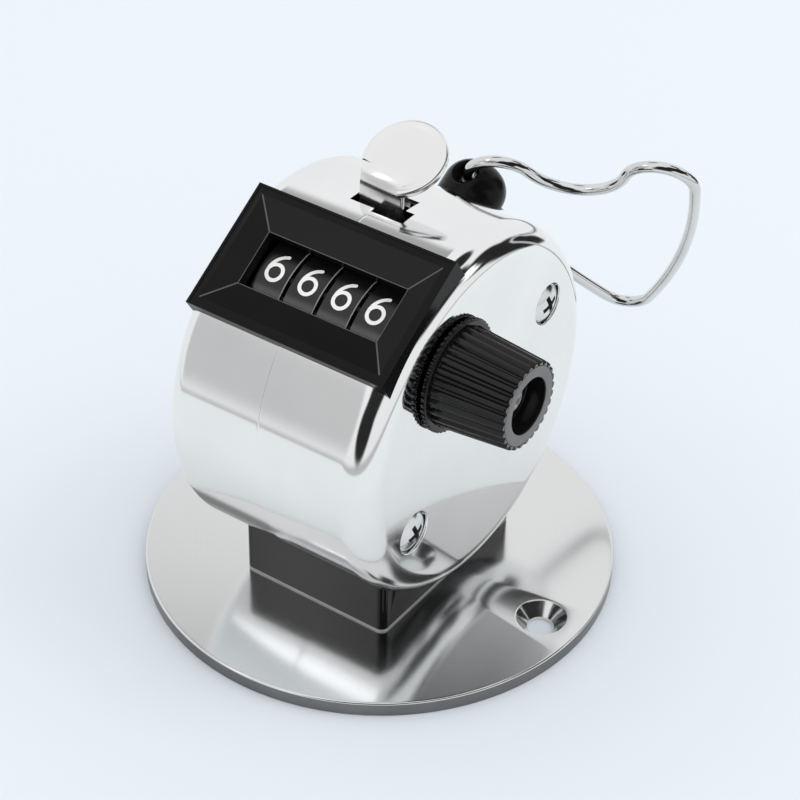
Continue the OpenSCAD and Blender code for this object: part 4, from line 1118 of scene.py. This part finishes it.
gears = [kind + place for kind in ("carry_gear_", "transfer_pinion_") for place in wheelPlaces[1:]]
kept = {
    frameSteel: ["frame_plate_left", "frame_plate_right", "frame_sleeves", "case_pillars", "lever_pin",
                 "transfer_shaft", "holding_pawl", "drive_pawl", "pawl_pin", "return_spring", "reset_shaft"],
    zinc: ["base_screws", "base_nuts", "shaft_clip", "holder_rivet"],
    brass: ["shaft_bushes"],
    gearWhite: ["ratchet_wheel", "wheel_spacer", *gears],
}
for item, names in kept.items():
    for name in names:
        setFinishes(nodes[name], [item])
print("kept nodes finished")


# stage: floor, world, lamp and camera

stage = dict(
    floor=(0.80, 0.855, 0.92), mirrored=(0.86, 0.90, 0.91), sky=(0.80, 0.865, 0.94),
    tableCentre=(-34.0, 49.0, 0), tableRadius=190.0, floorRough=0.9, floorSpecular=0.1,
    # brightness of the walls by height
    walls=((-1.0, 0.55), (-0.235, 0.55), (-0.19, 0.93), (0.5, 0.97), (1.0, 1.0)),
    # cards the metal mirrors: azimuth, elevation, inner and outer half angle, brightness
    cards=((240, 12, 12, 26, 0.62), (234, 38, 3, 8, 3.0), (-65, 10, 18, 25, 0.02), (-55, 30, 20, 27, 0.02),
           (-15, 38, 22, 28, 0.02), (18, 33, 18, 24, 0.02), (48, 15, 12, 17, 0.02), (60, 2, 12, 17, 0.02),
           (70, -10, 9, 13, 0.02), (58, 54, 10, 14, 0.02), (150, 58, 7, 12, 0.25), (134, 50, 5, 10, 0.42),
           (38, 12, 3, 6, 1.3), (38, 20, 3, 6, 1.3)))


def makeFloor():
    bm = bmesh.new()
    bmesh.ops.create_circle(bm, cap_ends=True, segments=128, radius=stage["tableRadius"] * mm)
    bmesh.ops.translate(bm, verts=bm.verts, vec=Vector(stage["tableCentre"]) * mm)
    obj = meshObject("floor", bm)
    values = {"Roughness": stage["floorRough"], "Specular IOR Level": stage["floorSpecular"]}
    material, surface, add, join = newMaterial("floorPaper", values)
    colours = {mixA: (*stage["floor"], 1), mixB: (*stage["mirrored"], 1)}
    paper = add("ShaderNodeMix", colours, data_type="RGBA")
    join(add("ShaderNodeLightPath"), paper, "Is Glossy Ray")
    join(paper, surface, mixOut, "Base Color")
    addFinishes(obj, [material])


def makeWorld():
    world = bpy.data.worlds.new("studio")
    world.use_nodes = True
    scene.world = world
    add, join = builder(world.node_tree)
    coords = add("ShaderNodeTexCoord")
    split = add("ShaderNodeSeparateXYZ")
    height = add("ShaderNodeMapRange", {"From Min": -1})
    walls = add("ShaderNodeValToRGB")
    ramp = walls.color_ramp
    while len(ramp.elements) < len(stage["walls"]):
        ramp.elements.new(0.5)
    for element, (z, value) in zip(ramp.elements, stage["walls"]):
        element.position = (z + 1) / 2
        element.color = (*grey(value), 1)
    join(coords, split, "Generated")
    join(split, height, "Z", "Value")
    join(height, walls, 0, "Fac")
    source, output = walls, "Color"
    for azimuth, elevation, inner, outer, value in stage["cards"]:
        a, e = radians(azimuth), radians(elevation)
        direction = (cos(a) * cos(e), sin(a) * cos(e), sin(e))
        near = add("ShaderNodeVectorMath", {1: direction}, operation="DOT_PRODUCT")
        limits = {"From Min": cos(radians(outer)), "From Max": cos(radians(inner))}
        mask = add("ShaderNodeMapRange", limits, interpolation_type="SMOOTHSTEP")
        card = add("ShaderNodeMix", {mixB: (*grey(value), 1)}, data_type="RGBA")
        join(coords, near, "Generated")
        join(near, mask, "Value", "Value")
        join(mask, card)
        join(source, card, output, mixA)
        source, output = card, mixOut
    # only mirror rays meet the cards, so they leave the light on the floor even
    rays = add("ShaderNodeLightPath")
    lit = add("ShaderNodeMix", data_type="RGBA")
    seen = add("ShaderNodeMix", {mixB: (*stage["sky"], 1)}, data_type="RGBA")
    join(rays, lit, "Is Glossy Ray")
    join(walls, lit, "Color", mixA)
    join(source, lit, output, mixB)
    join(rays, seen, "Is Camera Ray")
    join(lit, seen, mixOut, mixA)
    join(seen, world.node_tree.nodes["Background"], mixOut, "Color")


keyLamp = dict(power=1.1, size=0.4, place=(0.45, 0.3, 0.75), target=(0, 0, 0.03))


def makeLamp():
    data = bpy.data.lights.new("key", "AREA")
    data.shape = "RECTANGLE"
    data.size = data.size_y = keyLamp["size"]
    data.energy = keyLamp["power"]
    obj = newObject("key", data)
    obj.location = keyLamp["place"]
    aim = Vector(keyLamp["target"]) - Vector(keyLamp["place"])
    obj.rotation_euler = aim.to_track_quat("-Z", "Y").to_euler()
    obj.visible_glossy = False


view = dict(
    azimuth=34.79, elevation=37.208, roll=1.017, distance=306.02, lens=112.57, sensor=36, clip=0.01,
    target=(2.805, 0.0, 25.951))


def makeCamera():
    a, e, r = (radians(view[k]) for k in ("azimuth", "elevation", "roll"))
    back = Vector((sin(a) * cos(e), -cos(a) * cos(e), sin(e)))
    right = Vector((cos(a), sin(a), 0))
    up = back.cross(right)
    right, up = right * cos(r) + up * sin(r), up * cos(r) - right * sin(r)
    data = bpy.data.cameras.new("camera")
    data.lens = view["lens"]
    data.sensor_width = view["sensor"]
    data.clip_start = view["clip"]
    obj = newObject("camera", data)
    turn = Matrix((right, up, back)).transposed().to_4x4()
    obj.matrix_world = Matrix.Translation((Vector(view["target"]) + back * view["distance"]) * mm) @ turn
    scene.camera = obj


makeFloor()
makeWorld()
makeLamp()
makeCamera()
print("stage set")
